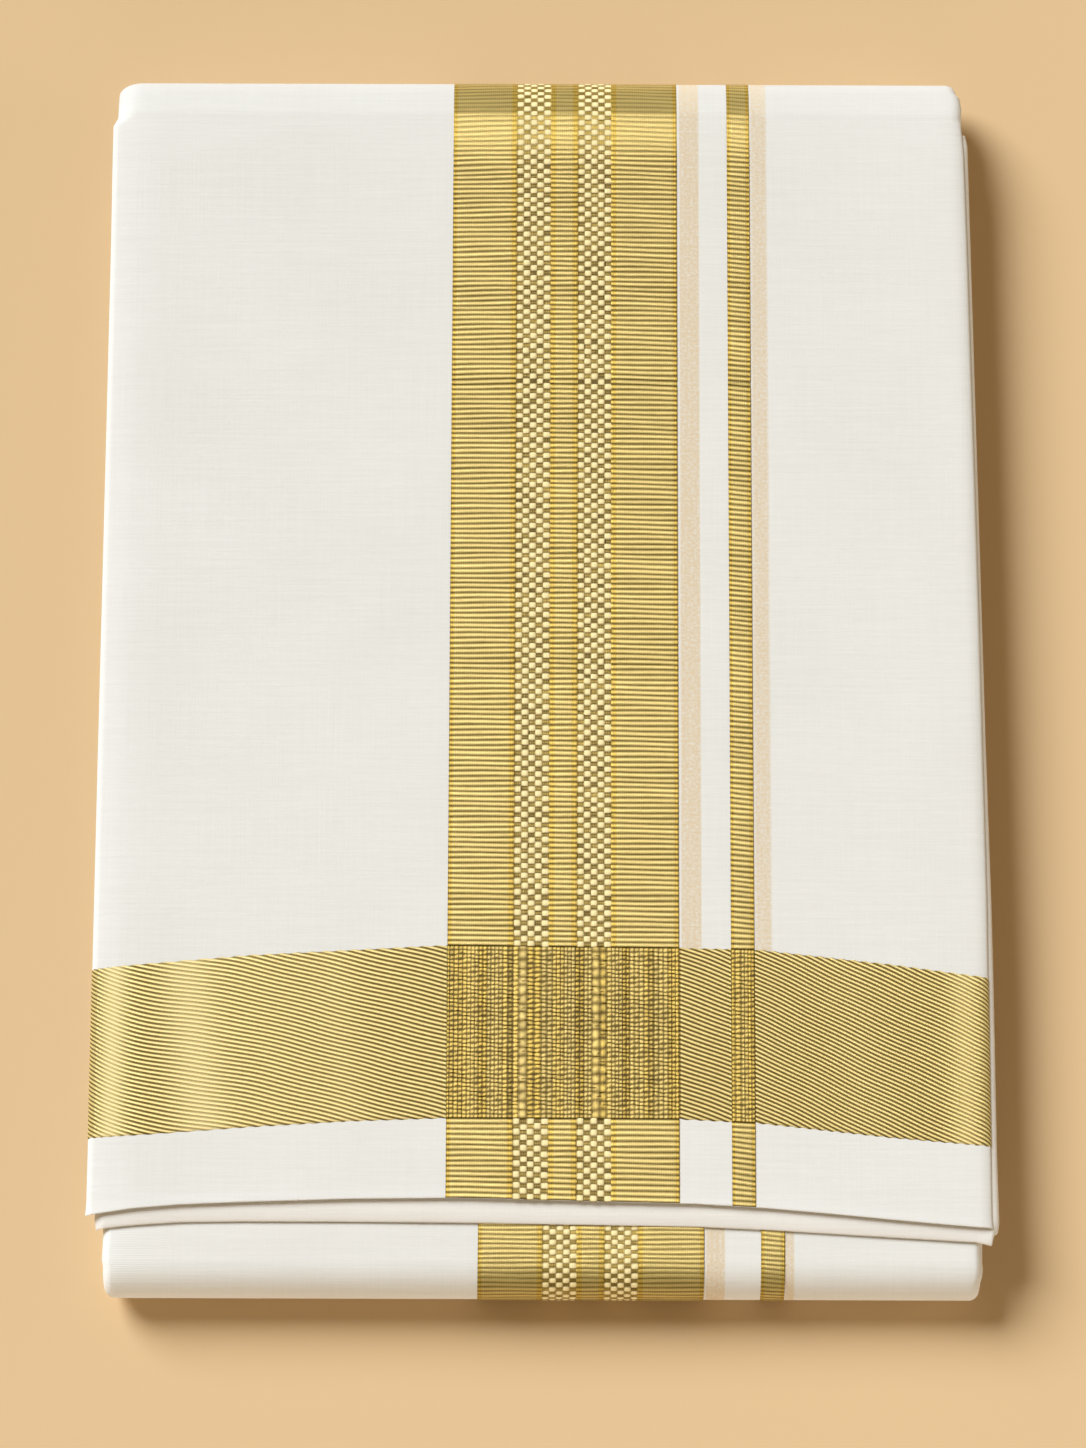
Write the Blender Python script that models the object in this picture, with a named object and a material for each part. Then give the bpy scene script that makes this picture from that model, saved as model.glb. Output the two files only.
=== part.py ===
"""A dhoti, a man's unstitched cotton wrap with woven gold borders, folded flat for storing.

The long cloth was folded across its width into a strip, and the strip was wound flat, turn on
turn. Its free end lies on top. Four solids make the packet:

    top_flap        the outermost ply, from its free edge over the top and round the far fold
    flap_under_ply  the next ply of the flap, which shows as a lip past the free edge
    under_wrap      the ply that goes on along the underside, round the near roll and in under
                    the flap
    fold_core       the hidden turns as one rounded solid, with a ridge at each side for each turn

Frame: metres, +Z up, +X to the right, +Y from the flap's free edge to the far fold. The origin is
on the resting surface, under the middle of the packet. The sizes below are in millimetres.
"""

import math
from collections import namedtuple

import bmesh
import bpy

MM = 0.001

# Driving sizes of the packet
PACKET_LENGTH = 373.2
PACKET_HEIGHT = 19.5
WALL = 1.1
GAP = 0.3

# The top lies a little higher in the middle than at the sides, except over the near roll
CROWN = 0.5
CROWN_HALF_WIDTH = 130.0
CROWN_START_Y = -176.0
CROWN_RISE = 40.0

# It also sinks gently towards its left edge, and a little towards the far crease
SAG = 1.2
SAG_X = -114.4
SAG_WIDTH = 17.0
SHOULDER = 0.35
SHOULDER_WIDTH = 16.0

# The far fold: the top turns down at a pressed crease, then rounds to the underside
FAR_CREASE_BACK = 13.0
FAR_CREASE_ANGLE = 20.0

# The near roll is lower than the packet by the flap's two plies
NEAR_ROLL_REACH = 10.5
TUCK_END_Y = -110.0
TUCK_RAMP = 9.5

# Free edges where they are furthest back, and the seam between the two outer plies
FLAP_EDGE_Y = -158.8
UNDER_PLY_EDGE_Y = -165.5
UNDER_PLY_END_Y = 168.0
UNDER_PLY_BOW_FADE = 200.0
SEAM_Y = 165.45

# Hidden turns, a little slack inside the plies round them
CORE_EASE = 0.15
TURNS = 4
SLIT_SHARE = 0.10
RIDGE_DEPTH = 0.9
RIDGE_SAMPLES = (0.0, 0.14, 0.5, 0.86)
TURN_WAVE = 0.35
FAR_FREE = 0.5

# Worked out from the sizes above
HALF_LENGTH = PACKET_LENGTH / 2
PLY_STEP = WALL + GAP
CREASE = math.radians(FAR_CREASE_ANGLE)
CREASE_Y = HALF_LENGTH - FAR_CREASE_BACK
FAR_HALF_HEIGHT = PACKET_HEIGHT / (1 + math.cos(CREASE))
FAR_HALF_REACH = FAR_CREASE_BACK / (1 - math.sin(CREASE))
FAR_CENTRE_Y = HALF_LENGTH - FAR_HALF_REACH
NEAR_ROLL_HEIGHT = PACKET_HEIGHT - 2 * PLY_STEP
NEAR_ROLL_Y = NEAR_ROLL_REACH - HALF_LENGTH
CORE_SKIN = PLY_STEP + CORE_EASE
CORE_NEAR_TOP = NEAR_ROLL_HEIGHT - CORE_SKIN
CORE_FAR_TOP = PACKET_HEIGHT - PLY_STEP - CORE_SKIN
CORE_NEAR_HALF = (CORE_NEAR_TOP - CORE_SKIN) / 2

# How far each free edge bows towards the near end, at places across the packet
Bow = namedtuple("Bow", "x flap lip")
EDGE_BOW = (
    Bow(-131.0, 5.3, 2.6),
    Bow(-117.0, 3.3, 1.2),
    Bow(-104.0, 2.2, 0.3),
    Bow(-86.0, 1.4, 0.0),
    Bow(-55.0, 0.4, 0.0),
    Bow(-23.0, 0.0, 0.2),
    Bow(17.0, 1.0, 0.8),
    Bow(45.0, 1.6, 1.2),
    Bow(64.0, 2.7, 2.0),
    Bow(82.0, 4.2, 3.0),
    Bow(101.0, 6.0, 4.1),
    Bow(117.0, 7.4, 5.0),
    Bow(126.0, 8.1, 5.5),
    Bow(129.4, 8.4, 6.2),
    Bow(130.2, 8.4, 4.2),
    Bow(131.8, 8.5, 2.9),
)

# The sides of each ply at distances along it: the x of its two folded edges, the width and drop
# over which each turns down, and the straight skirt below that
Side = namedtuple("Side", "reach left right left_width left_drop right_width right_drop skirt")
FLAP_SIDES = (
    Side(0.0, -131.35, 129.9, 3.5, 2.6, 4.5, 1.12, 0.03),
    Side(88.0, -131.25, 130.0, 3.5, 2.6, 4.5, 1.12, 0.03),
    Side(136.0, -131.2, 129.45, 3.5, 2.6, 4.5, 1.12, 0.03),
    Side(180.0, -131.1, 129.0, 3.5, 2.6, 4.5, 1.12, 0.03),
    Side(290.0, -130.95, 127.45, 3.5, 2.6, 4.5, 1.12, 0.03),
    Side(320.0, -131.1, 126.9, 3.5, 2.6, 4.5, 1.12, 0.03),
    Side(329.0, -131.1, 126.3, 3.5, 2.6, 4.3, 1.15, 0.03),
    Side(332.0, -129.8, 126.4, 6.0, 3.2, 4.0, 1.9, 0.2),
    Side(336.5, -129.9, 126.6, 7.5, 4.4, 3.6, 2.4, 0.3),
    Side(341.0, -130.0, 126.15, 7.5, 4.6, 3.4, 2.4, 0.4),
    Side(342.4, -129.95, 125.2, 7.5, 4.6, 3.3, 2.4, 0.4),
    Side(349.0, -130.0, 124.8, 7.5, 4.6, 3.3, 2.4, 0.5),
    Side(356.0, -129.3, 124.8, 5.5, 4.0, 3.6, 3.0, 0.5),
    Side(364.0, -127.8, 124.8, 4.0, 3.6, 4.0, 3.6, 0.5),
)
LIP_SIDES = (
    Side(0.0, -128.7, 131.75, 3.5, 2.4, 2.6, 1.3, 0.3),
    Side(21.0, -128.7, 131.45, 3.5, 2.4, 2.6, 1.3, 0.3),
    Side(72.0, -128.8, 131.3, 3.5, 2.4, 2.6, 1.3, 0.3),
    Side(95.0, -128.8, 131.1, 3.5, 2.4, 2.6, 1.3, 0.3),
    Side(143.0, -128.8, 130.25, 3.5, 2.4, 2.6, 1.3, 0.3),
    Side(187.0, -128.8, 129.7, 3.5, 2.4, 2.6, 1.3, 0.3),
    Side(297.0, -128.7, 128.3, 3.5, 2.4, 2.6, 1.3, 0.3),
    Side(330.0, -128.1, 127.9, 3.2, 2.4, 2.6, 1.3, 0.3),
    Side(333.5, -127.6, 127.2, 3.0, 2.4, 2.6, 1.3, 0.3),
)
WRAP_SIDES = (
    Side(0.0, -127.8, 124.8, 4.0, 3.6, 4.0, 3.6, 0.5),
    Side(40.0, -126.6, 126.0, 3.0, 3.7, 3.0, 3.7, 0.3),
    Side(150.0, -126.2, 126.5, 3.0, 3.7, 3.0, 3.7, 0.3),
    Side(330.0, -125.6, 126.0, 3.0, 3.7, 3.0, 3.7, 0.3),
    Side(349.0, -125.6, 125.4, 3.4, 3.7, 3.0, 3.7, 0.3),
    Side(354.0, -125.9, 126.0, 3.4, 3.7, 3.0, 3.7, 0.3),
    Side(356.2, -126.2, 126.5, 3.4, 3.7, 3.0, 3.7, 0.3),
    Side(360.7, -126.3, 126.6, 3.2, 3.7, 3.0, 3.7, 0.3),
    Side(363.0, -126.4, 126.7, 3.0, 3.7, 3.0, 3.7, 0.3),
    Side(365.6, -126.45, 127.2, 3.0, 3.7, 3.0, 3.7, 0.3),
    Side(368.3, -126.4, 127.4, 3.0, 3.7, 3.0, 3.7, 0.3),
    Side(371.0, -126.8, 127.2, 3.0, 3.7, 3.0, 3.7, 0.3),
    Side(376.0, -126.6, 127.3, 3.0, 3.7, 3.0, 3.7, 0.3),
    Side(435.0, -126.5, 127.3, 3.0, 3.7, 3.0, 3.7, 0.3),
)

# The sides of each hidden turn, outermost first: where a ply lies over them and where none does
Turn = namedtuple("Turn", "left left_free right right_free waves phase")
TURN_SIDES = (
    Turn(-122.4, -125.2, 122.4, 123.8, 2, 0.4),
    Turn(-123.0, -126.7, 123.0, 125.2, 3, 2.1),
    Turn(-125.6, -126.1, 125.4, 125.0, 2, 3.9),
    Turn(-126.6, -127.0, 125.9, 126.4, 3, 5.2),
)

# Steps of the sections: angles of a turned-down edge, and shares across the level stretch
CURL_ANGLES = (90.0, 66.0, 44.0, 22.0, 0.0)
LEVEL_SHARES = (0.03, 0.06, 0.12, 0.2, 0.29, 0.38, 0.5, 0.62, 0.71, 0.8, 0.88, 0.94)

# Colours of the plain cotton
COTTON_FLAP = (0.80, 0.78, 0.72)
COTTON_LIP = (0.79, 0.75, 0.68)
COTTON_ROLL = (0.78, 0.76, 0.70)
COTTON_TURNS = (0.74, 0.71, 0.64)
COTTON_ROUGHNESS = 0.85
SHARP_ANGLE = math.radians(50)

Station = namedtuple("Station", "reach y z out_y out_z")
Outline = namedtuple("Outline", "y z middle_y middle_z free")


def blend(table, column, key_column, key):
    """A table's column at a key, straight between the rows on either side of it."""
    rows = [(getattr(row, key_column), getattr(row, column)) for row in table]
    if key <= rows[0][0]:
        return rows[0][1]
    for (key_a, value_a), (key_b, value_b) in zip(rows, rows[1:]):
        if key <= key_b:
            return value_a + (value_b - value_a) * (key - key_a) / (key_b - key_a)
    return rows[-1][1]


def smooth(share):
    """From 0 to 1 with level ends."""
    share = min(max(share, 0.0), 1.0)
    return share * share * (3 - 2 * share)


def spread(first, last, count):
    """Numbers from first to last in even steps."""
    return [first + (last - first) * step / (count - 1) for step in range(count)]


def flat_run(stops, z, out_z):
    """Points with outward normals on a level stretch of a ply, at each y of stops."""
    return [(y, z, 0.0, out_z) for y in stops]


def roll_run(centre_y, centre_z, half_reach, half_height, angles):
    """Points with outward normals round a fold, at angles in degrees from straight up.

    A negative half_reach makes a fold that faces -Y.
    """
    points = []
    for angle in angles:
        turn = math.radians(angle)
        out_y = math.sin(turn) / half_reach
        out_z = math.cos(turn) / half_height
        size = math.hypot(out_y, out_z)
        y = centre_y + half_reach * math.sin(turn)
        z = centre_z + half_height * math.cos(turn)
        points.append((y, z, out_y / size, out_z / size))
    return points


def stations_of(points):
    """The points as stations, each with its distance along the ply from the first."""
    stations = []
    reach = 0.0
    for index, point in enumerate(points):
        if index:
            before = points[index - 1]
            reach += math.hypot(point[0] - before[0], point[1] - before[1])
        stations.append(Station(reach, *point))
    return stations


def curled_edge(centre, width, drop, skirt):
    """A turned-down edge in (x, depth), from its tip to the level top. Left edges have width < 0."""
    points = [(centre + width, drop + skirt)]
    for angle in CURL_ANGLES:
        turn = math.radians(angle)
        points.append((centre + width * math.sin(turn), drop - drop * math.cos(turn)))
    return points


def ply_section(edges):
    """Closed section of one ply in (x, depth): its outer side from left to right, then its inner."""
    left_centre = edges["left"] + edges["left_width"]
    right_centre = edges["right"] - edges["right_width"]
    span = right_centre - left_centre
    level = [(left_centre + span * share, 0.0) for share in LEVEL_SHARES]
    sides = []
    for inset in (0.0, WALL):
        left_width = inset - edges["left_width"]
        right_width = edges["right_width"] - inset
        left = curled_edge(left_centre, left_width, edges["left_drop"] - inset, edges["skirt"])
        right = curled_edge(right_centre, right_width, edges["right_drop"] - inset, edges["skirt"])
        sides.append([(x, depth + inset) for x, depth in left + level + right[::-1]])
    return sides[0] + sides[1][::-1]


def sink(x, y, level):
    """How far the top falls at a place: to both sides, at the left edge and to the far crease.

    Level is 1 on the top and 0 at mid height.
    """
    across = CROWN * (x / CROWN_HALF_WIDTH) ** 2 * smooth((y - CROWN_START_Y) / CROWN_RISE)
    left = SAG * max((SAG_X - x) / SAG_WIDTH, 0.0) ** 2
    far = SHOULDER * min(max((y - CREASE_Y) / SHOULDER_WIDTH + 1.0, 0.0), 1.0) ** 2
    return (across + left + far) * min(max(level, 0.0), 1.0)


def ply_ring(station, sides, depth, bow_column, bow_share):
    """One ring of a ply: its section at the station, carried forward by its free edge's bow."""
    edges = {name: blend(sides, name, "reach", station.reach) for name in Side._fields[1:]}
    ring = []
    for x, drop in ply_section(edges):
        inward = depth + drop
        bow = bow_share * blend(EDGE_BOW, bow_column, "x", x)
        y = station.y - station.out_y * inward - bow
        z = station.z - station.out_z * (inward + sink(x, y, station.out_z))
        ring.append((x, y, z))
    return ring


def cap(mesh, row):
    """Closes a ring with a strip of faces between its two halves."""
    for index in range(len(row) // 2 - 1):
        mesh.faces.new((row[index], row[index + 1], row[-index - 2], row[-index - 1]))


def solid_from_rings(name, rings, colour):
    """A node: closed rings joined in order and capped, with faces outwards and its own cotton."""
    mesh = bmesh.new()
    rows = [[mesh.verts.new([value * MM for value in point]) for point in ring] for ring in rings]
    count = len(rows[0])
    for row, after in zip(rows, rows[1:]):
        for index in range(count):
            other = (index + 1) % count
            mesh.faces.new((row[index], row[other], after[other], after[index]))
    cap(mesh, rows[0])
    cap(mesh, rows[-1])
    bmesh.ops.recalc_face_normals(mesh, faces=mesh.faces)
    data = bpy.data.meshes.new(name)
    mesh.to_mesh(data)
    mesh.free()
    data.shade_smooth()
    data.set_sharp_from_angle(angle=SHARP_ANGLE)
    data.materials.append(plain_cotton(name + "_cotton", colour))
    node = bpy.data.objects.new(name, data)
    bpy.context.scene.collection.objects.link(node)
    return node


def plain_cotton(name, colour):
    """Matt cotton of one colour."""
    material = bpy.data.materials.new(name)
    material.use_nodes = True
    shader = material.node_tree.nodes["Principled BSDF"]
    shader.inputs["Base Color"].default_value = (*colour, 1.0)
    shader.inputs["Roughness"].default_value = COTTON_ROUGHNESS
    shader.inputs["Metallic"].default_value = 0.0
    return material


def make_top_flap():
    """The outermost ply, from its bowed free edge over the top and round the far fold."""
    stops = [FLAP_EDGE_Y + step for step in (0.0, 12.0, 30.0, 52.0, 76.0)]
    stops += spread(FLAP_EDGE_Y + 105.0, CREASE_Y - 14.0, 7)
    stops += [CREASE_Y - 6.0, CREASE_Y - 2.0]
    points = flat_run(stops, PACKET_HEIGHT, 1.0)
    fold_size = (FAR_HALF_REACH, FAR_HALF_HEIGHT)
    fold_angles = spread(FAR_CREASE_ANGLE, 180.0, 13)
    points += roll_run(FAR_CENTRE_Y, FAR_HALF_HEIGHT, *fold_size, fold_angles)
    points += flat_run([SEAM_Y + GAP / 2], 0.0, -1.0)
    rings = []
    for station in stations_of(points):
        share = 1.0 - smooth((station.y - FLAP_EDGE_Y) / (CREASE_Y - FLAP_EDGE_Y))
        share *= max(station.out_z, 0.0)
        rings.append(ply_ring(station, FLAP_SIDES, 0.0, "flap", share))
    return solid_from_rings("top_flap", rings, COTTON_FLAP)


def make_flap_under_ply():
    """The ply below, whose lip shows past the free edge and whose right side stands proud."""
    stops = [UNDER_PLY_EDGE_Y + step for step in (0.0, 14.0, 34.0, 60.0)]
    stops += spread(UNDER_PLY_EDGE_Y + 95.0, UNDER_PLY_END_Y - 12.0, 6)
    stops += [UNDER_PLY_END_Y - 5.0, UNDER_PLY_END_Y]
    rings = []
    for station in stations_of(flat_run(stops, PACKET_HEIGHT, 1.0)):
        share = 1.0 - smooth((station.y - UNDER_PLY_EDGE_Y) / UNDER_PLY_BOW_FADE)
        rings.append(ply_ring(station, LIP_SIDES, PLY_STEP, "lip", share))
    return solid_from_rings("flap_under_ply", rings, COTTON_LIP)


def make_under_wrap():
    """The ply along the underside, round the near roll and in under the flap."""
    half_height = NEAR_ROLL_HEIGHT / 2
    points = flat_run([SEAM_Y - GAP / 2, 145.0, 125.0, 70.0, 15.0, -70.0, -150.0], 0.0, -1.0)
    points += roll_run(NEAR_ROLL_Y, half_height, -NEAR_ROLL_REACH, half_height, spread(180.0, 0.0, 13))
    points += flat_run((NEAR_ROLL_Y + 5.0, -160.0, -140.0, TUCK_END_Y), NEAR_ROLL_HEIGHT, 1.0)
    rings = [ply_ring(station, WRAP_SIDES, 0.0, "lip", 0.0) for station in stations_of(points)]
    return solid_from_rings("under_wrap", rings, COTTON_ROLL)


def core_outline():
    """The hidden turns' outline seen from the side, round from the near end by way of the top."""
    near_middle = CORE_SKIN + CORE_NEAR_HALF
    far_middle = (CORE_FAR_TOP + CORE_SKIN) / 2
    rising = []
    falling = []
    for angle in spread(90.0, 0.0, 6):
        roll = (NEAR_ROLL_Y, near_middle, CORE_SKIN - NEAR_ROLL_REACH, CORE_NEAR_HALF, (angle,))
        y, z, _, _ = roll_run(*roll)[0]
        rising.append(Outline(y, z, NEAR_ROLL_Y, near_middle, 0.0))
        falling.append(Outline(y, 2 * near_middle - z, NEAR_ROLL_Y, near_middle, 0.0))

    stops = [NEAR_ROLL_Y + 6.0, -150.0, TUCK_END_Y - 1.0, TUCK_END_Y + TUCK_RAMP]
    stops += spread(TUCK_END_Y + 40.0, FAR_CENTRE_Y, 8)
    for y in stops:
        past_tuck = y - TUCK_END_Y
        top = CORE_NEAR_TOP + (CORE_FAR_TOP - CORE_NEAR_TOP) * smooth(past_tuck / TUCK_RAMP)
        free = smooth((past_tuck - 8.0) / 30.0) * smooth((CREASE_Y - 8.0 - y) / 20.0)
        rising.append(Outline(y, top, y, (top + CORE_SKIN) / 2, free))
        falling.append(Outline(y, CORE_SKIN, y, (top + CORE_SKIN) / 2, 0.0))

    for angle in spread(FAR_CREASE_ANGLE, 180.0, 13):
        covered = 1.0 - smooth((angle - FAR_CREASE_ANGLE) / 60.0)
        inward = CORE_SKIN + PLY_STEP * covered
        roll = (FAR_CENTRE_Y, FAR_HALF_HEIGHT, FAR_HALF_REACH, FAR_HALF_HEIGHT, (angle,))
        y, z, out_y, out_z = roll_run(*roll)[0]
        free = FAR_FREE * smooth((angle - 40.0) / 40.0) * smooth((178.0 - angle) / 30.0)
        y -= out_y * inward
        z -= out_z * inward
        rising.append(Outline(y, z, FAR_CENTRE_Y, far_middle, free))
    return rising + falling[:0:-1]


def turn_side(turn, hand, point, along):
    """The x of one turn's side at a point of the outline. Hand is -1 at the left, 1 at the right."""
    covered = turn.left if hand < 0 else turn.right
    stands = turn.left_free if hand < 0 else turn.right_free
    wave = TURN_WAVE * math.sin(turn.waves * math.tau * along + turn.phase + hand)
    return covered + (stands - covered) * point.free - hand * abs(wave)


def core_ring(hand, number, sample, outline):
    """One ring round the side of one hidden turn. Sample runs over the turn's own thickness."""
    share_each = (1.0 - SLIT_SHARE) / TURNS
    share = 1.0 - share_each * (number + sample)
    flatness = 1.0 - math.sqrt(1.0 - (2.0 * sample - 1.0) ** 2)
    ring = []
    for index, point in enumerate(outline):
        along = index / len(outline)
        x = turn_side(TURN_SIDES[number], hand, point, along) - hand * RIDGE_DEPTH * flatness
        if number and sample == 0.0:
            before = turn_side(TURN_SIDES[number - 1], hand, point, along) - hand * RIDGE_DEPTH
            x = hand * min(hand * x, hand * before)
        y = point.middle_y + (point.y - point.middle_y) * share
        rise = (point.z - point.middle_z) * share
        level = min(rise / CORE_NEAR_HALF, 1.0)
        ring.append((x, y, point.middle_z + rise - sink(x, point.y, level)))
    return ring


def core_side(hand, outline):
    """Rings of one side of the hidden turns, from the outline in to the slit inside the last."""
    rings = []
    for number in range(TURNS):
        for sample in RIDGE_SAMPLES:
            rings.append(core_ring(hand, number, sample, outline))
    rings.append(core_ring(hand, TURNS - 1, 1.0, outline))
    return rings


def make_fold_core():
    """The hidden turns as one solid, ridged at both sides."""
    outline = core_outline()
    rings = core_side(-1, outline)[::-1] + core_side(1, outline)
    return solid_from_rings("fold_core", rings, COTTON_TURNS)


def main():
    """Builds the packet in an emptied scene."""
    for leftover in list(bpy.data.objects):
        bpy.data.objects.remove(leftover, do_unlink=True)
    make_top_flap()
    make_flap_under_ply()
    make_under_wrap()
    make_fold_core()


main()
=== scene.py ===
"""The looks of a folded dhoti: thin cotton plies, woven gold borders and plain soft studio light.

Lengths in the tables and settings are millimetres. A place on a ply is given by across, the
distance over the cloth from the packet's middle, and along, the distance along the strip.
"""

import math
from collections import namedtuple

import bpy
import numpy as np
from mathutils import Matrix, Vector


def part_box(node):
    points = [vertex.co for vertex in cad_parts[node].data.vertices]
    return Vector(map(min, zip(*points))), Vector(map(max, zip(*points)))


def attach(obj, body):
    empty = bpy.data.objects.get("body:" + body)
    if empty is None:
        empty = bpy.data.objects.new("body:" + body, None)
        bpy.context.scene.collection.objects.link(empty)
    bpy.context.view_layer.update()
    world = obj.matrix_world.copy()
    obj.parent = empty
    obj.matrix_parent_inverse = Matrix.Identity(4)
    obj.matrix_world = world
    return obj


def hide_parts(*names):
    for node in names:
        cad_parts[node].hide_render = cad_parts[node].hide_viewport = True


bl_info = {
    "name": "Folded dhoti",
    "version": (1, 0, 0),
    "blender": (4, 5, 0),
    "location": "3D View > Sidebar > Dhoti",
    "description": "Dresses the packet of a folded dhoti in cotton and woven gold",
    "category": "Object",
}

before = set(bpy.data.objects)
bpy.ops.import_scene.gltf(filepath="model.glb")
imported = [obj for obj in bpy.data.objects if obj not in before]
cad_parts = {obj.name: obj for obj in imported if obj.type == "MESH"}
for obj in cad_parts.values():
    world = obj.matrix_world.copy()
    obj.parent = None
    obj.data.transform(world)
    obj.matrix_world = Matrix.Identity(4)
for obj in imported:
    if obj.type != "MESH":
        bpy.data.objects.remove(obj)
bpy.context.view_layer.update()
SEED = 27

MM = 0.001
MAP_UNIT = 100.0

# The packet's size, from the frame
PACKET_LENGTH = (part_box("top_flap")[1].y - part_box("under_wrap")[0].y) / MM
PACKET_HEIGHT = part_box("top_flap")[1].z / MM

# The folds, as the solids have them
WALL = 1.1
GAP = 0.3
CROWN = 0.5
CROWN_HALF_WIDTH = 130.0
CROWN_START_Y = -176.0
CROWN_RISE = 40.0
SAG = 1.2
SAG_X = -114.4
SAG_WIDTH = 17.0
SHOULDER = 0.35
SHOULDER_WIDTH = 16.0
FAR_CREASE_BACK = 13.0
FAR_CREASE_ANGLE = 20.0
NEAR_ROLL_REACH = 10.5
TUCK_END_Y = -110.0
TUCK_RAMP = 9.5
FLAP_EDGE_Y = -158.8
UNDER_PLY_EDGE_Y = -165.5
UNDER_PLY_END_Y = 168.0
UNDER_PLY_BOW_FADE = 200.0
SEAM_Y = 165.45
CORE_EASE = 0.15
# How far the plies' lines run on beyond a free edge, for its bow, how many samples go round a fold,
# and how close two of them may be
FLAP_BOW_ROOM = 16.0
LIP_BOW_ROOM = 12.0
FOLD_SAMPLES = 61
SAME_PLACE = 1e-6

HALF_LENGTH = PACKET_LENGTH / 2
PLY_STEP = WALL + GAP
CREASE = math.radians(FAR_CREASE_ANGLE)
CREASE_Y = HALF_LENGTH - FAR_CREASE_BACK
FAR_HALF_HEIGHT = PACKET_HEIGHT / (1 + math.cos(CREASE))
FAR_HALF_REACH = FAR_CREASE_BACK / (1 - math.sin(CREASE))
FAR_CENTRE_Y = HALF_LENGTH - FAR_HALF_REACH
NEAR_ROLL_HEIGHT = PACKET_HEIGHT - 2 * PLY_STEP
NEAR_ROLL_Y = NEAR_ROLL_REACH - HALF_LENGTH
UNDERSIDE = SEAM_Y - NEAR_ROLL_Y
CORE_SKIN = PLY_STEP + CORE_EASE
CORE_NEAR_TOP = NEAR_ROLL_HEIGHT - CORE_SKIN
CORE_FAR_TOP = PACKET_HEIGHT - PLY_STEP - CORE_SKIN
CORE_NEAR_HALF = (CORE_NEAR_TOP - CORE_SKIN) / 2

# The cotton's face lies this deep under the solids' face, and the gold fills the difference
COTTON_DEPTH = 0.30
GOLD_LIFT = 0.03
GOLD_SEAT = 0.14
# The gold stops this far short of the flap's free edge and of the seam
EDGE_MARGIN = 0.12
SEAM_MARGIN = 0.3
# The under ply's warmer tint, painted warm light bounced between the plies, the hidden turns' darker
# tint, painted shade between the plies, and how far apart the plies lie on the map
UNDER_PLY_WARM_LIGHT = (1.03, 1.0, 0.975)
TURNED_SHADE = (0.97, 0.96, 0.94)
UNDER_PLY_MAP = 400.0
TURNED_MAP_RISE = 4.0
# The step of the cotton's rows where a ply turns, and at a free edge over how many millimetres
FOLD_STEP = 0.9
EDGE_STEP = 1.0
FLAP_EDGE_ROWS = 4.0
LIP_EDGE_ROWS = 8.0
# How far before the far crease and the near roll the rows become that close, how far they stay so
# round the roll, and how far before the roll its borders begin and how long they are
CREASE_LEAD = 6.0
ROLL_LEAD = 2.0
ROLL_ROWS = 34.0
BORDER_LEAD = 4.0
ROLL_BORDER = 56.0
# How many times the cotton's grid the rows' step is on the under ply, the underside and the tuck
LIP_GRID = 1.6
UNDER_GRID = 1.5
TUCK_GRID = 1.4
# A free edge thins out: how far from it that starts, how far each ply's face sinks, and how much
# less the deeper faces do
EDGE_REACH = {"flap": 5.0, "lip": 4.0}
EDGE_DIP = {"flap": -0.20, "lip": 0.60}
EDGE_THIN = {"flap": 0.30, "lip": 0.60}


def table(kind, *rows):
    """Rows of one kind. A row that gives fewer numbers keeps the rest of the one before it."""
    full = [()]
    for row in rows:
        full.append((*row, *full[-1][len(row):]))
    return tuple(kind(*row) for row in full[1:])


# How far each free edge bows towards the near end, at places across the packet
Bow = namedtuple("Bow", "x flap lip")
EDGE_BOW = table(
    Bow, (-131, 5.3, 2.6), (-117, 3.3, 1.2), (-104, 2.2, 0.3), (-86, 1.4, 0), (-55, 0.4, 0), (-23, 0, 0.2),
    (17, 1, 0.8), (45, 1.6, 1.2), (64, 2.7, 2), (82, 4.2, 3), (101, 6, 4.1), (117, 7.4, 5), (126, 8.1, 5.5),
    (128.8, 8.3, 6.7), (129.6, 8.4, 6.2), (130.2, 8.4, 3.5), (132.4, 8.5, 2.9),
)

# Which way is outwards at each side
HANDS = {"left": -1.0, "right": 1.0}
# The sides of each ply at distances along it: the x of its two folded edges, the width and drop
# over which each turns down, and the straight skirt below that
Side = namedtuple("Side", "reach left right left_width left_drop right_width right_drop skirt")
FLAP_SIDES = table(
    Side, (0, -131.35, 129.9, 2.4, 1.7, 4.5, 1.3, 0.03), (88, -131.25, 130), (136, -131.2, 129.45),
    (180, -131.1, 129), (290, -130.95, 127.45), (320, -131.1, 126.9),
    (329, -131.1, 126.3, 2.4, 1.9, 4.3, 1.4, 0.05), (330.5, -130.5, 126.3, 4.2, 2.6, 4.2, 1.9, 0.2),
    (332, -129.8, 126.4, 6, 3.2, 4, 2.2), (336.5, -129.9, 126.6, 7.5, 4.4, 3.6, 2.4, 0.3),
    (341, -130, 126.15, 7.5, 4.6, 3.4, 2.4, 0.4), (342.4, -129.95, 125.2, 7.5, 4.6, 3.3),
    (349, -130, 124.8, 7.5, 4.6, 3.3, 2.4, 0.5), (356, -129.3, 124.8, 5.5, 4, 3.6, 3),
    (364, -127.8, 124.8, 4, 3.6, 4, 3.6),
)
LIP_SIDES = table(
    Side, (0, -128.7, 131.75, 3.5, 2.4, 2.6, 1.3, 0.3), (21, -128.7, 131.45), (72, -128.8, 131.3),
    (95, -128.8, 131.1), (143, -128.8, 130.25), (187, -128.8, 129.7), (297, -128.7, 128.3),
    (330, -128.1, 127.9, 3.2), (333.5, -127.6, 127.2, 3),
)
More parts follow.
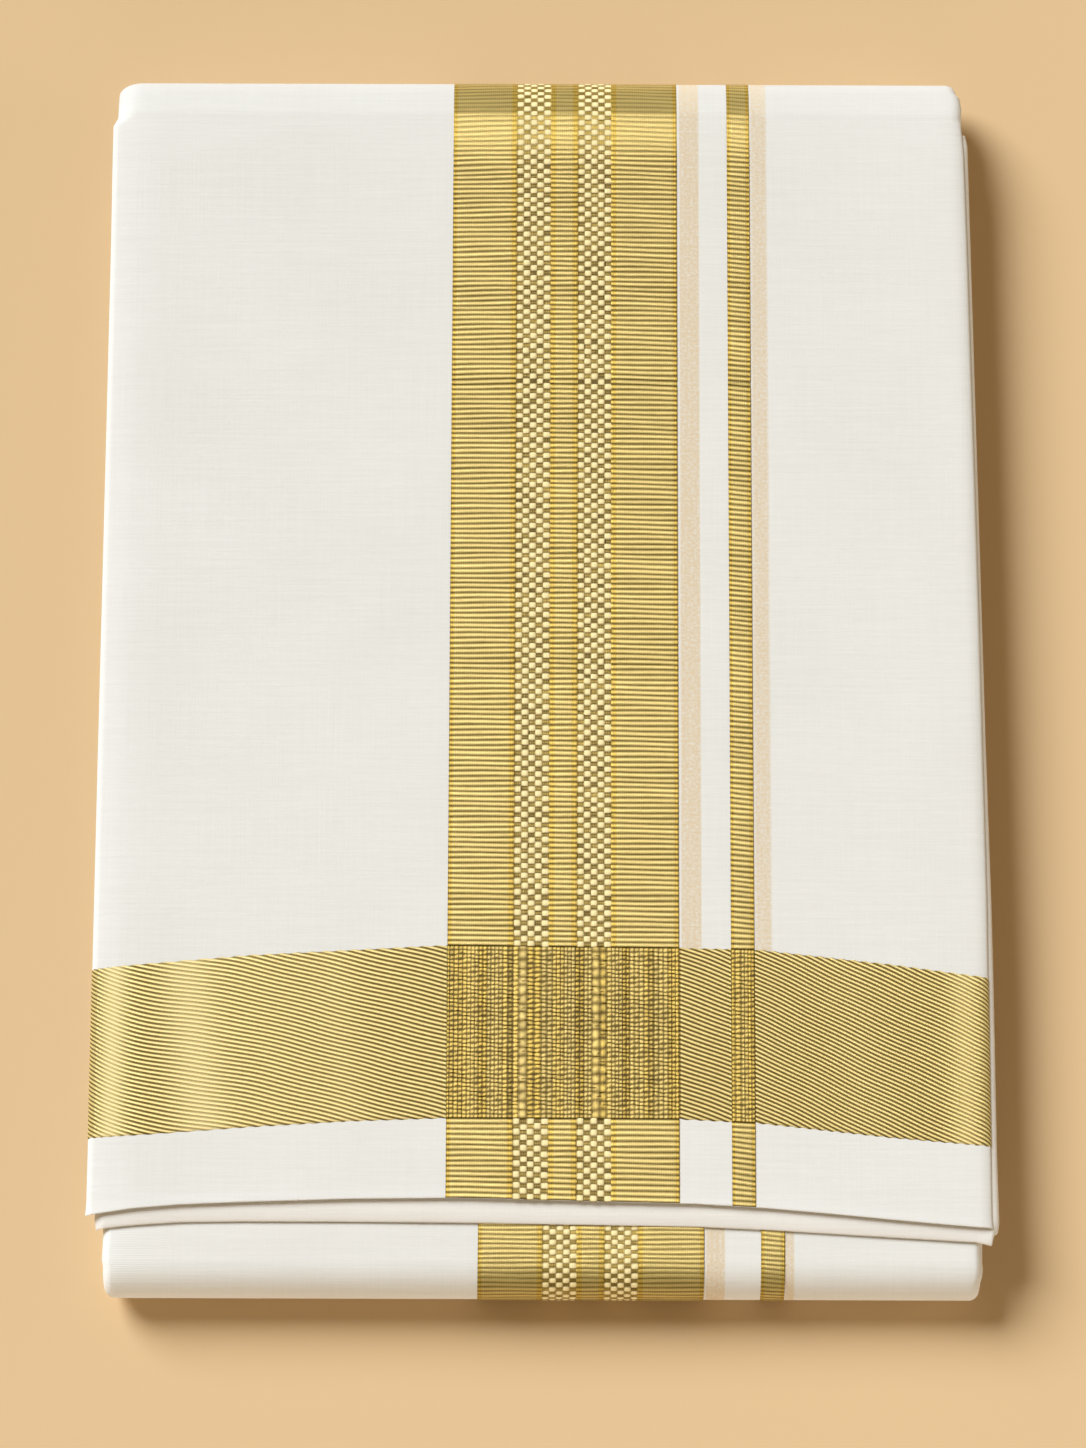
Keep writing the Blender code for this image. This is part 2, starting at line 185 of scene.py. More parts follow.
WRAP_SIDES = table(
    Side, (0, -127.8, 124.8, 4, 3.6, 4, 3.6, 0.5), (40, -126.6, 126, 3, 3.7, 3, 3.7, 0.3),
    (150, -126.2, 126.5), (330, -125.6, 126), (349, -125.6, 125.4, 3.4), (354, -125.9, 126),
    (356.2, -126.2, 126.5), (360.7, -126.3, 126.6, 3.2), (363, -126.4, 126.7, 3), (365.6, -126.45, 127.2),
    (368.3, -126.4, 127.4), (371, -126.8, 127.2), (376, -126.6, 127.3), (435, -126.5),
)

# The hidden turns, outermost first: each turn's share of the thickness, how far its folded sides
# stand out at the left and right, and how its line wanders
Turn = namedtuple("Turn", "share left right waves phase")
TURNS = table(
    Turn, (0.062, -123.3, 124.2, 2, 0.4), (0.071, -125.6, 125.5, 3, 2.1), (0.058, -124.1, 124.7, 2, 3.9),
    (0.083, -126.6, 126.6, 3, 5.2), (0.066, -125.4, 125.9, 2, 1.3), (0.092, -126.9, 127.1, 2, 0.2),
    (0.071, -125.7, 125.7, 3, 4.4), (0.084, -126.8, 127.3, 2, 2.8), (0.077, -125.9, 126.4, 3, 1),
    (0.088, -126.5, 127.5, 2, 5.7), (0.079, -126.2, 126.8, 3, 3.3), (0.089, -126.7, 127.4, 2, 0.9),
)
# Where a ply covers the turns at the left and right, how deep the groove after each turn is, how
# far its line wanders in long and in short waves, and where its round is sampled
TURN_COVERED = (-122.6, 122.5)
TURN_DEPTH = 0.85
TURN_WAVE = 0.32
TURN_RIPPLE = 0.10
TURN_SAMPLES = (0.0, 0.10, 0.3, 0.5, 0.7, 0.90)
# Where the turns' sides show between the plies: this far inside the tuck's end and the crease, over
# what lengths, and how much of them round the far fold, between which angles. The under ply ends
# over the last angle
FREE_INSIDE = 8.0
FREE_RISE, FREE_FALL = 30.0, 20.0
FAR_FREE = 0.5
FAR_FREE_FROM, FAR_FREE_RISE = 40.0, 40.0
FAR_FREE_TO, FAR_FREE_FALL = 178.0, 30.0
COVER_ANGLE = 60.0

# The end band's two edges, and the place across where each falls
Band = namedtuple("Band", "x far near")
END_BAND = table(
    Band, (-140, -92.6, -142.4), (-130.6, -91.5, -141.4), (-114, -90, -140.5), (-85, -87.5, -138.3),
    (-56, -85.9, -136.5), (-28, -84.4, -135.5), (40, -85, -135.6), (62.5, -85.4, -136.7),
    (101, -89.6, -140.8), (130, -93.5, -143.2), (140, -94.8, -144.4),
)

# The twill's slope at places across
Slope = namedtuple("Slope", "x fall")
TWILL = table(
    Slope, (-140, 0.8), (-130, 0.62), (-126, 0.46), (-120.5, 0.3), (-113, 0.18), (-107, 0.14),
    (-94.5, 0.165), (-80, 0.235), (-65, 0.255), (-36, 0.26), (40, 0.355), (50, 0.385), (72, 0.495),
    (85, 0.505), (100, 0.475), (122, 0.48), (140, 0.85),
)
# Where the band's twill is lit by painted sheen across its width, and how much lighter and paler it is
# there: the rows at -124.5 and 122.5 are painted highlights on its curled edges, the others painted
# sheen over paler weave
SheenAndPaleness = namedtuple("SheenAndPaleness", "x width light pale")
TWILL_SHEEN_AND_PALENESS = table(
    SheenAndPaleness, (-124.5, 4, 0.2, 0.4), (-101, 7.5, 0.06, 0.26), (-78, 44, 0.08, 0.14), (-58, 6, 0.03, 0.04),
    (92, 8, 0.04, 0.05), (122.5, 5, 0.34, 0.18),
)
# Of its lines: how steep their tone is, how thin their grooves, how light their crests and how pale
TWILL_STEEP = 1.8
TWILL_THIN = 0.26
TWILL_CREST = 0.86
# Its yarn's tone, paleness and saffron
TWILL_YARN = (1.0, 0.22, 0.10)
# How far its painted sheen leans to the left for each millimetre beyond the band's middle, and how
# far out across the packet it does so
TWILL_DRIFT = 0.12
BAND_MIDDLE_Y = -114.0
INNER_SHEEN = 110.0
# How its lines sway: the height, and the lengths across and along that the waves count by
TWILL_SWAY = ((0.16, 11.0, 17.0), (0.10, 4.3, -7.0))

# Where the stripes lie across the flap, and at the near roll, to which they drift underneath
Stripe = namedtuple("Stripe", "name left right roll_left roll_right")
MAIN = Stripe("main", -27.6, 39.8, -18.2, 46.9)
CREAM = Stripe("cream", 40.3, 46.6, 47.2, 53.0)
NARROW = Stripe("narrow", 54.9, 61.7, 63.2, 70.1)
SECOND_CREAM = Stripe("second_cream", 61.7, 67.2, 70.1, 72.9)
# How fast they drift, and how far to the left and right of them the cloth drifts with them
DRIFT_SPEED = 1.12
DRIFT_LEFT = 90.0
DRIFT_RIGHT = 70.0

# The lanes of a border, from its left edge. A check lane is a row of cells
Lane = namedtuple("Lane", "left right kind cells")
MAIN_LANES = table(
    Lane, (0, 1.2, "edge", 1), (1.2, 17.7, "rib", 1), (17.7, 19.3, "knot", 1), (19.3, 29.4, "check", 5),
    (29.4, 31, "knot", 1), (31, 36.1, "rib", 1), (36.1, 37.7, "knot", 1), (37.7, 47.6, "check", 5),
    (47.6, 49.2, "knot", 1), (49.2, 66.2, "rib", 1), (66.2, 67.4, "edge", 1),
)
NARROW_LANES = table(
    Lane, (0, 1, "edge", 1), (1, 5.8, "rib", 1), (5.8, 6.8, "edge", 1),
)
# Of each kind of lane: its height beside a rib's, how gold yellow it is, how light, and its samples
LaneKind = namedtuple("LaneKind", "height saffron light samples")
LANE_KINDS = {
    "edge": LaneKind(0.85, 0.85, 0.0, (0.04, 0.3, 0.7, 0.96)),
    "rib": LaneKind(1.0, 0.0, 0.0, ()),
    "knot": LaneKind(0.9, 0.85, 0.02, (0.05, 0.35, 0.65, 0.95)),
    "check": LaneKind(1.0, 0.6, 0.0, (0.05, 0.3, 0.7, 0.95)),
}
# A border's weave: where it lies, its ribs' pitch beside the usual one, how far they arch towards
# the far end, how far they lean across it, and how even its gold is, which also sets how much painted
# shade darkens it where it turns under the near roll
Weave = namedtuple("Weave", "stripe lanes seed pitch arch lean even")
MAIN_WEAVE = Weave(MAIN, MAIN_LANES, SEED, 1.0, 0.75, 0.0, 0.0)
NARROW_WEAVE = Weave(NARROW, NARROW_LANES, SEED + 10, 1.0, 0.0, -0.6, 0.0)
# The step of a ribbed lane's columns and how near its rims the outer ones lie, in millimetres, and
# the shares at which a rib is sampled along the cloth, on the flap and underneath
RIB_STEP = 4.0
RIB_RIMS = (0.12, 0.55)
CELL_SAMPLES = (0.04, 0.22, 0.5, 0.78, 0.96)
UNDER_SAMPLES = (0.06, 0.5, 0.94)
# One flatter and darker rib lies across the borders here, and the ribs are closer and more even on
# the near roll, with painted shade darkening them over this length where it turns under
FLAT_RIB_Y = 88.3
FLAT_RIB_HEIGHT = 0.5
FLAT_RIB_DARK = 0.24
ROLL_PITCH = 0.90
ROLL_EVEN_AND_SHADE = 0.25
ROLL_TONE = 0.7
ROLL_UNDER = 11.0
# How unevenly the loom worked: the spread of the ribs' height and lightness, of the cells' place
# and lightness and of each point's lightness, how far the ribs wander over how many of them, how
# far each strays, how many at a border's ends keep in line, and how they sway: by how much, over
# what width, and by what share of a turn from rib to rib, begun again after so many
RIB_SPREAD = 0.12
LIGHT_SPREAD = 0.03
CELL_SPREAD = 0.07
POINT_SPREAD = 0.04
WANDER_RIBS = 12
WANDER = 0.12
STRAY = 0.03
END_RIBS = 6.0
RIB_SWAY = 0.10
SWAY_WIDTH = 31.0
SWAY_TURN = 0.117
SWAY_RIBS = 97
# How long the far fold is round its turn, and how much painted shade darkens its cotton there
FOLD_LENGTH = 48.0
FOLD_SHADE = 0.22
# The checks' gold cells: their height, their tone, which darkens the sunken gold as painted shade, and
# how much the cotton cells crowd them
LOW_CELL = 0.36
LOW_TONE = 0.30
CELL_SWELL = 0.24
# How much of a cell's tone and of its shift stays at its two sides, where painted shade darkens it, and
# how round the ribs are, in their height and in their tone, whose low grooves are painted shade
CELL_SIDE_TONE = 0.3
CELL_SIDE_SHIFT = 0.4
RIB_ROUND = 0.8
RIB_STEEP = 1.4
# Where the ribs begin to be pressed flatter beside the far crease, over what length, how much flatter
# they then are, how strong the painted highlight is that lightens them just below the crease, and how
# much more even they then are
PRESSED_Y = 159.0
PRESSED_LENGTH = 8.0
PRESSED_FLAT = 0.5
PRESSED_HIGHLIGHT = 0.16
PRESSED_TONE = 0.40
PRESSED_EVEN = 0.85
# The twill: the step of its points along the cloth, where its slope is summed up, how near its
# edges the first of them lie, its height beside a rib's, the height of its lines in its bump, and
# how far its line ends stand out of the band's edges, over what share of it
TWILL_STEP = 1.0
SLOPE_SAMPLES = 561
TWILL_RIM = 0.006
TWILL_RISE = 0.4
TWILL_BUMP = 0.00017
PICOT = 0.14
PICOT_REACH = 0.04
# The step of the band's columns in each of its stretches, and how many there are over each turned
# edge
COLUMN_STEPS = {"left": 0.85, "middle": 0.6, "right": 0.36}
CURL_COLUMNS = {"left": 22, "right": 14}
# How many of a gold sheet's columns go to one of its underside
SEAT_STEP = 5

# The beaded stripes where the main border crosses the end band, from its left edge: where each
# ends, the size of its beads, how light and how saffron it is, and how matt and pale
Beads = namedtuple("Beads", "end across rows light saffron pale")
CROSSING = table(
    Beads, (0.7, 0.7, 1, 0.25, 0.8, 0), (5.8, 1.3, 1, 0, 0.55, 0), (9.1, 1.15, 1, 0.3, 0.3, 0.08),
    (11.6, 1.25, 1, -0.2, 0.85, 0), (16.1, 1.15, 1, 0.2, 0.15, 0.12), (20.7, 1.5, 1, 0.05, 0.5, 0),
    (23.2, 2.5, 2, 0.25, 0.1, 0.32), (27.3, 1.9, 1, -0.1, 0.75, 0), (30.6, 1.6, 1, 0.2, 0.1, 0.18),
    (34, 1.1, 1, -0.1, 0.45, 0), (37.1, 1, 1, 0.2, 0.05, 0.2), (39.8, 1.35, 1, -0.3, 0.85, 0),
    (42, 1.1, 1, 0.2, 0.1, 0.2), (44.3, 2.3, 2, 0.1, 0.25, 0.12), (46.4, 2.1, 2, 0, 0.6, 0),
    (47.8, 1.4, 1, 0.4, 0.3, 0.08), (50.9, 1, 1, 0.05, 0.15, 0.12), (53, 1.05, 1, -0.2, 0.85, 0),
    (57.1, 1.35, 1, 0.1, 0.15, 0.12), (60, 1.45, 1, -0.1, 0.55, 0), (64.2, 1.4, 1, 0.2, 0.15, 0.12),
    (67.4, 1.1, 1, -0.1, 0.75, 0),
)
NARROW_CROSSING = table(
    Beads, (1, 1, 1, 0.1, 0.85, 0), (2.9, 1.9, 1, -0.1, 0.5, 0), (4.9, 1, 1, 0.15, 0.3, 0.08),
    (6.8, 0.95, 1, -0.1, 0.75, 0),
)
# The shares at which a bead is sampled both ways
BEAD_SAMPLES = (0.06, 0.35, 0.65, 0.94)
# How light beads are that are one or two rows long, and what their height, as painted light on the
# taller ones, and their column's own lightness add to that, how steep their painted shade is, how much
# their heights and their columns' and their own lightness vary, and how dark the painted shade in the
# gaps is
BEAD_SHADE = {1: 1.0, 2: 0.74}
BEAD_SHADE_LOW = 0.42
BEAD_SHADE_HIGH = 1.08
BEAD_SHADE_COLUMN = 2.0
BEAD_STEEP = 1.3
BEAD_SPREAD = 0.42
COLUMN_SPREAD = 0.045
BEAD_LIGHT_SPREAD = 0.06
BEAD_GAP_SHADE = 0.12
# How round a bead is, the height and the tone, darkened as painted shade, that it keeps at its two
# sides, the height of the lowest beads, the least saffron, the share of a stripe's paleness, and the
# lightness of them all with how far a stripe's own light moves it
BEAD_ROUND = 0.9
BEAD_SIDE = 0.45
BEAD_SIDE_TONE = 0.10
BEAD_LOW = 0.7
BEAD_SAFFRON = 0.3
BEAD_PALE = 0.5
BEAD_LIGHT = 0.57
STRIPE_LIGHT = 0.14
# How a crossing's rows ripple: the height, the width, and the share of a turn from bead to bead
BEAD_RIPPLES = ((0.22, 9.0, 0.13), (0.12, 3.7, -0.31))
BEAD_ENDS = 0.05

# Soft creases of the flap, the lip and the wrap, from one (x, y) to another. A ridge's rise is more
# than 0, a trough's less
Crease = namedtuple("Crease", "x y to_x to_y width rise")
FLAP_CREASES = table(
    Crease, (-124, -164, -123.5, 168, 2.6, 0.1), (-104, -160, -106, 120, 14, -0.1),
    (92, -150, 96, 165, 18, -0.08), (-120, 88.3, 124, 88.3, 1.6, -0.05), (-96, -20, -38, 24, 9, 0.06),
    (66, 10, 118, -26, 11, -0.06), (-118, 150, -60, 138, 8, -0.07), (72, 132, 122, 146, 9, 0.06),
)
LIP_CREASES = (Crease(-110.0, -168.0, -40.0, -166.0, 5.0, -0.06),)
WRAP_CREASES = table(
    Crease, (-190, -167.5, 190, -167.5, 5, 0.3), (-80, -60, -20, 40, 16, -0.1),
    (88, 90, 112, -20, 12, -0.09), (-110, 120, -70, 60, 14, -0.08),
)
# The share of a crease's length over which each of its ends fades out
CREASE_FADE = 0.2


# ---------------------------------------------------------------- settings


def amount(name, text, default, **kind):
    """A plain number that a user may change."""
    return bpy.props.FloatProperty(name=name, description=text, default=default, **kind)


def length(name, text, default):
    """A length in metres."""
    return amount(name, text, default, unit="LENGTH")


def angle(name, text, degrees):
    """An angle, given in degrees."""
    return amount(name, text, math.radians(degrees), subtype="ANGLE")


def colour(name, text, default):
    """A linear colour."""
    return bpy.props.FloatVectorProperty(name=name, description=text, default=default, subtype="COLOR")


class DhotiClothSettings(bpy.types.PropertyGroup):
    """The plain cotton."""

    grid: length("Grid", "Distance between the cotton's points", 0.0022)
    white: colour("White", "Colour of the cotton", (0.815, 0.81, 0.79))
    shade: colour("Shade", "Colour of the thin places in it", (0.70, 0.69, 0.66))
    cream: colour("Cream", "Colour of the cream lines", (0.72, 0.595, 0.425))
    thread: length("Thread", "Distance between the threads", 0.00052)


class DhotiGoldSettings(bpy.types.PropertyGroup):
    """The woven gold yarn."""

    rib: length("Rib", "Distance from rib to rib", 0.00155)
    twill: length("Twill", "Distance from twill line to twill line", 0.00127)
    bead: length("Bead", "Distance from bead to bead along a crossing", 0.00132)
    rise: length("Rise", "Height of a rib over its groove", 0.00024)
    # The groove colour is painted shade: the yarn's tone mixes it into the grooves, the crest colour onto the
    # crests
    crest: colour("Crest", "Colour of the gold on a rib", (0.82, 0.65, 0.25))
    groove: colour("Groove", "Colour of the gold in a groove", (0.13, 0.092, 0.012))
    saffron: colour("Saffron", "Colour of the gold at an edge", (0.80, 0.56, 0.10))
    pale: colour("Pale", "Colour of the cotton cells of the checks", (0.98, 0.84, 0.46))


class DhotiStageSettings(bpy.types.PropertyGroup):
    """The floor, the light and the camera."""

    floor: colour("Floor", "Colour of the floor", (0.73, 0.52, 0.298))
    camera_distance: length("Camera distance", "From the lens to the packet's top", 1.668)
    elevation: angle("Elevation", "How steeply the camera looks down", 75.0)
    turn: angle("Turn", "How far the camera looks to the right of +Y", -0.187)
    lens: amount("Lens", "Focal length in millimetres", 141.1)
    key: amount("Key", "Key light's strength", 4.50)
    key_height: angle("Key height", "How far the key light stands from overhead", 53.8)
    key_turn: angle("Key turn", "How far the key light is turned round the packet", -134.1)
    key_softness: angle("Key softness", "How wide the key light looks", 34.0)
    key_colour: colour("Key colour", "Colour of the key light", (0.895, 0.95, 1.0))
    fill: amount("Fill", "Low near light's watts", 15.0)
    fill_colour: colour("Fill colour", "Colour of the low near light", (1.0, 0.92, 0.82))
    gloss: amount("Gloss", "Watts of the softbox that the gold mirrors", 5.0)
    side_gloss: amount("Side gloss", "Watts of each of the two narrow ones for the sides", 7.0)
    sky: amount("Sky", "Strength of the light all round", 0.24)
    sky_colour: colour("Sky colour", "Colour of the light all round", (1.0, 0.74, 0.38))


SETTINGS = (
    ("dhoti_cloth", DhotiClothSettings),
    ("dhoti_gold", DhotiGoldSettings),
    ("dhoti_stage", DhotiStageSettings),
)


# ---------------------------------------------------------------- numbers


def eased(share):
    """From 0 to 1 with level ends."""
    share = np.clip(share, 0.0, 1.0)
    return share * share * (3 - 2 * share)


def read(rows, column, keys):
    """A table's column at an array of keys, which its first column holds, straight between rows."""
    return np.interp(keys, [row[0] for row in rows], [getattr(row, column) for row in rows])


def columns_of(*values):
    """Values side by side as columns. A plain number fills its own."""
    return np.column_stack(np.broadcast_arrays(*values))


def mixed(first, second, share):
    """From one value at a share of 0 to another at 1."""
    return first + (second - first) * share


def fading(value, start, length):
    """From 1 at a start down to 0 over a length."""
    return 1.0 - eased((value - start) / length)


def within(value, low, high, rise, fall):
    """1 between two limits and 0 beyond them, eased over a length inside each."""
    return eased((value - low) / rise) * eased((high - value) / fall)


def dome(share):
    """A round crest over one cell, from 0 at its sides to 1 in the middle."""
    return np.sqrt(np.clip(1.0 - (2.0 * share - 1.0) ** 2, 0.0, 1.0))


def pillow(share):
    """A flatter crest over one cell."""
    return np.clip(1.0 - (2.0 * share - 1.0) ** 4, 0.0, 1.0)


# ---------------------------------------------------------------- plies


def level_path(stops, z, out_z):
    """Samples (y, z, out_y, out_z) of a level stretch."""
    return columns_of(np.asarray(stops, float), z, 0.0, out_z)


def roll_path(centre_y, centre_z, half_reach, half_height, first, last):
    """Samples round a fold, from one angle to another in degrees from straight up."""
    turn = np.radians(np.linspace(first, last, FOLD_SAMPLES))
    out_y = np.sin(turn) / half_reach
    out_z = np.cos(turn) / half_height
    size = np.hypot(out_y, out_z)
    y = centre_y + half_reach * np.sin(turn)
    z = centre_z + half_height * np.cos(turn)
    return np.column_stack([y, z, out_y / size, out_z / size])


def sink(x, y, level):
    """How far the top falls at a place: to both sides, at the left edge and to the far crease.

    Level is 1 on the top and 0 or less on the sides and underneath.
    """
    across = CROWN * (x / CROWN_HALF_WIDTH) ** 2 * eased((y - CROWN_START_Y) / CROWN_RISE)
    left = SAG * np.maximum((SAG_X - x) / SAG_WIDTH, 0.0) ** 2
    far = SHOULDER * np.clip((y - CREASE_Y) / SHOULDER_WIDTH + 1.0, 0.0, 1.0) ** 2
    return (across + left + far) * np.clip(level, 0.0, 1.0)


def far_fold_path():
    """Samples round the far fold, from the pressed crease to the underside."""
    return roll_path(FAR_CENTRE_Y, FAR_HALF_HEIGHT, FAR_HALF_REACH, FAR_HALF_HEIGHT, FAR_CREASE_ANGLE, 180.0)


class Ply:
    """One ply of the strip: a line seen from the side, swept between two turned-down edges."""

    def __init__(self, pieces, sides, start, along_start, creases, skin=0.0, edge=None):
        """Start is the along at which the sides' table begins, along_start that of the first sample.

        Edge is the bow table's column for the free edge, where the ply thins out.
        """
        path = np.vstack(pieces)
        steps = np.hypot(*np.diff(path[:, :2], axis=0).T)
        self.path = path[np.concatenate(([True], steps > SAME_PLACE))]
        steps = np.hypot(*np.diff(self.path[:, :2], axis=0).T)
        self.along = along_start + np.concatenate(([0.0], np.cumsum(steps)))
        self.sides = sides
        self.start = start
        self.creases = creases
        self.skin = skin
        self.edge = edge

    def side(self, column, along):
        """A column of the sides' table at an along."""
        return read(self.sides, column, np.asarray(along) - self.start)

    def turned_edge(self, hand, along):
        """Of a folded edge: its width and drop, where it starts to turn down, and the turn's length."""
        width, drop = (self.side(hand + part, along) for part in ("_width", "_drop"))
        bend = self.side(hand, along) - HANDS[hand] * width
        return width, drop, bend, np.pi / 2 * np.sqrt((width**2 + drop**2) / 2)

    def place(self, across, along, depth):
        """Points in millimetres, for arrays of the same shape. Depth goes inwards from the face."""
        depth = depth + self.dip(across, along, depth)
        x = across.copy()
        drop = np.zeros_like(x)
        for hand, sign in HANDS.items():
            width, fall, bend, length = self.turned_edge(hand, along)
            past = sign * (across - bend)
            turn = np.clip(past / length, 0.0, 1.0) * np.pi / 2
            below = np.maximum(past - length, 0.0)
            curled = past > 0.0
            x = np.where(curled, bend + sign * (width - depth) * np.sin(turn), x)
            drop = np.where(curled, (fall - depth) * (1.0 - np.cos(turn)) + below, drop)
        y, z, out_y, out_z = (np.interp(along, self.along, column) for column in self.path.T)
        inward = self.skin + depth + drop - self.swell(x, y, out_z)
        sunk = sink(x, y, out_z)
        y = y - out_y * inward
        z = z - out_z * (inward + sunk)
        return np.stack([x, y, z], axis=-1)

    def dip(self, across, along, depth):
        """How much deeper a face at a depth lies near the free edge."""
        if self.edge is None:
            return 0.0
        past = along - self.start + read(EDGE_BOW, self.edge, across)
        near = np.clip(1.0 - past / EDGE_REACH[self.edge], 0.0, 1.0) ** 2
        return near * (EDGE_DIP[self.edge] - EDGE_THIN[self.edge] * depth)

    def swell(self, x, y, out_z):
        """The soft creases' height at a place. Ridges rise on the top alone, troughs underneath too."""
        total = np.zeros_like(x)
        for crease in self.creases:
            run = np.array([crease.to_x - crease.x, crease.to_y - crease.y])
            length = np.hypot(*run)
            run = run / length
            ahead = ((x - crease.x) * run[0] + (y - crease.y) * run[1]) / length
            beside = np.abs((x - crease.x) * run[1] - (y - crease.y) * run[0])
            ends = within(ahead, 0.0, 1.0, CREASE_FADE, CREASE_FADE)
            facing = out_z if crease.rise > 0.0 else np.abs(out_z)
            level = np.clip(facing * 2.0 - 1.0, 0.0, 1.0)
            total += crease.rise * ends * level * np.exp(-((beside / crease.width) ** 2))
        return total


def flap_ply():
    """The outermost ply. Along is y on the top."""
    start = FLAP_EDGE_Y - FLAP_BOW_ROOM
    pieces = (
        level_path((start, CREASE_Y - 0.5), PACKET_HEIGHT, 1.0),
        far_fold_path(),
        level_path((SEAM_Y + GAP / 2,), 0.0, -1.0),
    )
    return Ply(pieces, FLAP_SIDES, FLAP_EDGE_Y, start, FLAP_CREASES, edge="flap")


def lip_ply():
    """The ply below the flap. Along is y."""
    start = UNDER_PLY_EDGE_Y - LIP_BOW_ROOM
    pieces = (level_path((start, UNDER_PLY_END_Y), PACKET_HEIGHT, 1.0),)
    return Ply(pieces, LIP_SIDES, UNDER_PLY_EDGE_Y, start, LIP_CREASES, PLY_STEP, "lip")


def wrap_ply():
    """The ply along the underside and round the near roll. Along starts at 0 at the far seam."""
    half_height = NEAR_ROLL_HEIGHT / 2
    pieces = (
        level_path((SEAM_Y - GAP / 2, NEAR_ROLL_Y + 0.5), 0.0, -1.0),
        roll_path(NEAR_ROLL_Y, half_height, -NEAR_ROLL_REACH, half_height, 180.0, 0.0),
        level_path((NEAR_ROLL_Y + 0.5, TUCK_END_Y), NEAR_ROLL_HEIGHT, 1.0),
    )
    return Ply(pieces, WRAP_SIDES, 0.0, 0.0, WRAP_CREASES)


# ---------------------------------------------------------------- meshes


def settle(piece, *nodes):
    """Puts a finished piece on the body and the nodes it stands for."""
    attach(piece, "root")
    if nodes:
        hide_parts(*nodes)
    return piece


def make_object(name, points, faces, material):
    """An object of these points, in millimetres, with its faces turned outwards."""
    points = np.asarray(points, float) * MM
    corners = [points[faces[:, index]] for index in (0, 1, 2, 3)]
    fans = (corners[0], corners[1], corners[2]), (corners[0], corners[2], corners[3])
    volume = sum(float((a * np.cross(b, c)).sum()) for a, b, c in fans)
    if volume < 0:
        faces = faces[:, ::-1]
    data = bpy.data.meshes.new(name)
    rows = [face[:3] if face[2] == face[3] else face for face in faces.tolist()]
    data.from_pydata(points.tolist(), [], rows)
    data.polygons.foreach_set("use_smooth", np.ones(len(rows), bool))
    data.materials.append(material)
    piece = bpy.data.objects.new(name, data)
    bpy.context.scene.collection.objects.link(piece)
    return piece


def add_map(piece, place):
    """Writes each point's (across, along) as the piece's own map."""
    data = piece.data
    corner = np.zeros(len(data.loops), np.int32)
    data.loops.foreach_get("vertex_index", corner)
    layer = data.uv_layers.new(name="Cloth")
    layer.uv.foreach_set("vector", (place[corner] / MAP_UNIT).astype(np.float32).ravel())


def add_yarn(piece, yarn):
    """Writes each point's yarn: tone, low where shade is painted, paleness, saffron and lightness, which in
    places carries painted sheen.
    """
    layer = piece.data.color_attributes.new(name="yarn", type="FLOAT_COLOR", domain="POINT")
    layer.data.foreach_set("color", yarn.astype(np.float32).ravel())


def rows_of(*grids):
    """The rows of several grids of points, one grid after another."""
    return np.vstack([grid.reshape(-1, grid.shape[-1]) for grid in grids])


def grid_faces(index):
    """Quads between the neighbouring entries of a grid of point numbers."""
    quads = [index[:-1, :-1], index[:-1, 1:], index[1:, 1:], index[1:, :-1]]
    return np.stack([corner.ravel() for corner in quads], axis=1)


def closed_shell(name, outer, inner, place, material):
    """A closed sheet of two grids of points that meet all round their rim."""
    rows, columns = outer.shape[:2]
    outer_index = np.arange(rows * columns).reshape(rows, columns)
    inner_index = outer_index.copy()
    inside = np.arange((rows - 2) * (columns - 2)).reshape(rows - 2, columns - 2)
    inner_index[1:-1, 1:-1] = rows * columns + inside
    faces = np.vstack([grid_faces(outer_index), grid_faces(inner_index)[:, ::-1]])
    piece = make_object(name, rows_of(outer, inner[1:-1, 1:-1]), faces, material)
    add_map(piece, rows_of(place, place[1:-1, 1:-1]))
    return piece


# The angles at which a cotton sheet's rim is sampled, and how many columns go over a turned edge
RIM_TURNS = np.radians((0.0, 30.0, 60.0, 90.0))
CURL_STEPS = 9


def rim_stops(thickness):
    """Distances from a rim, and the share of the full thickness at each."""
    return thickness / 2 * (1.0 - np.cos(RIM_TURNS)), np.sin(RIM_TURNS)


def shell_columns(ply, along, grid, thickness):
    """Across of each column at each row, from tip to tip, and each column's share of thickness."""
    inset, full = rim_stops(thickness)
    (*_, left, left_length), (*_, right, right_length) = (ply.turned_edge(hand, along) for hand in HANDS)
    skirt = ply.side("skirt", along)
    count = int(round(float((right - left).mean()) / grid))
    curl = np.linspace(1.0, 0.0, CURL_STEPS)
    left_tip = left - left_length - skirt
    right_tip = right + right_length + skirt
    parts = [
        left_tip[:, None] + inset[None, :],
        left[:, None] - left_length[:, None] * curl[None, :],
        left[:, None] + (right - left)[:, None] * np.linspace(0.0, 1.0, count)[None, 1:-1],
        right[:, None] + right_length[:, None] * curl[::-1][None, :],
        right_tip[:, None] - inset[None, ::-1],
    ]
    across = np.maximum.accumulate(np.concatenate(parts, axis=1), axis=1)
    middle = across.shape[1] - 2 * len(full)
    return across, np.concatenate([full, np.ones(middle), full[::-1]])


def shell_rows(stops, thickness):
    """Alongs of the rows with rims at both ends, and each row's share of thickness."""
    inset, full = rim_stops(thickness)
    stops = np.asarray(stops)
    rows = np.concatenate([stops[0] + inset, stops[1:-1], stops[-1] - inset[::-1]])
    return rows, np.concatenate([full, np.ones(len(stops) - 2), full[::-1]])


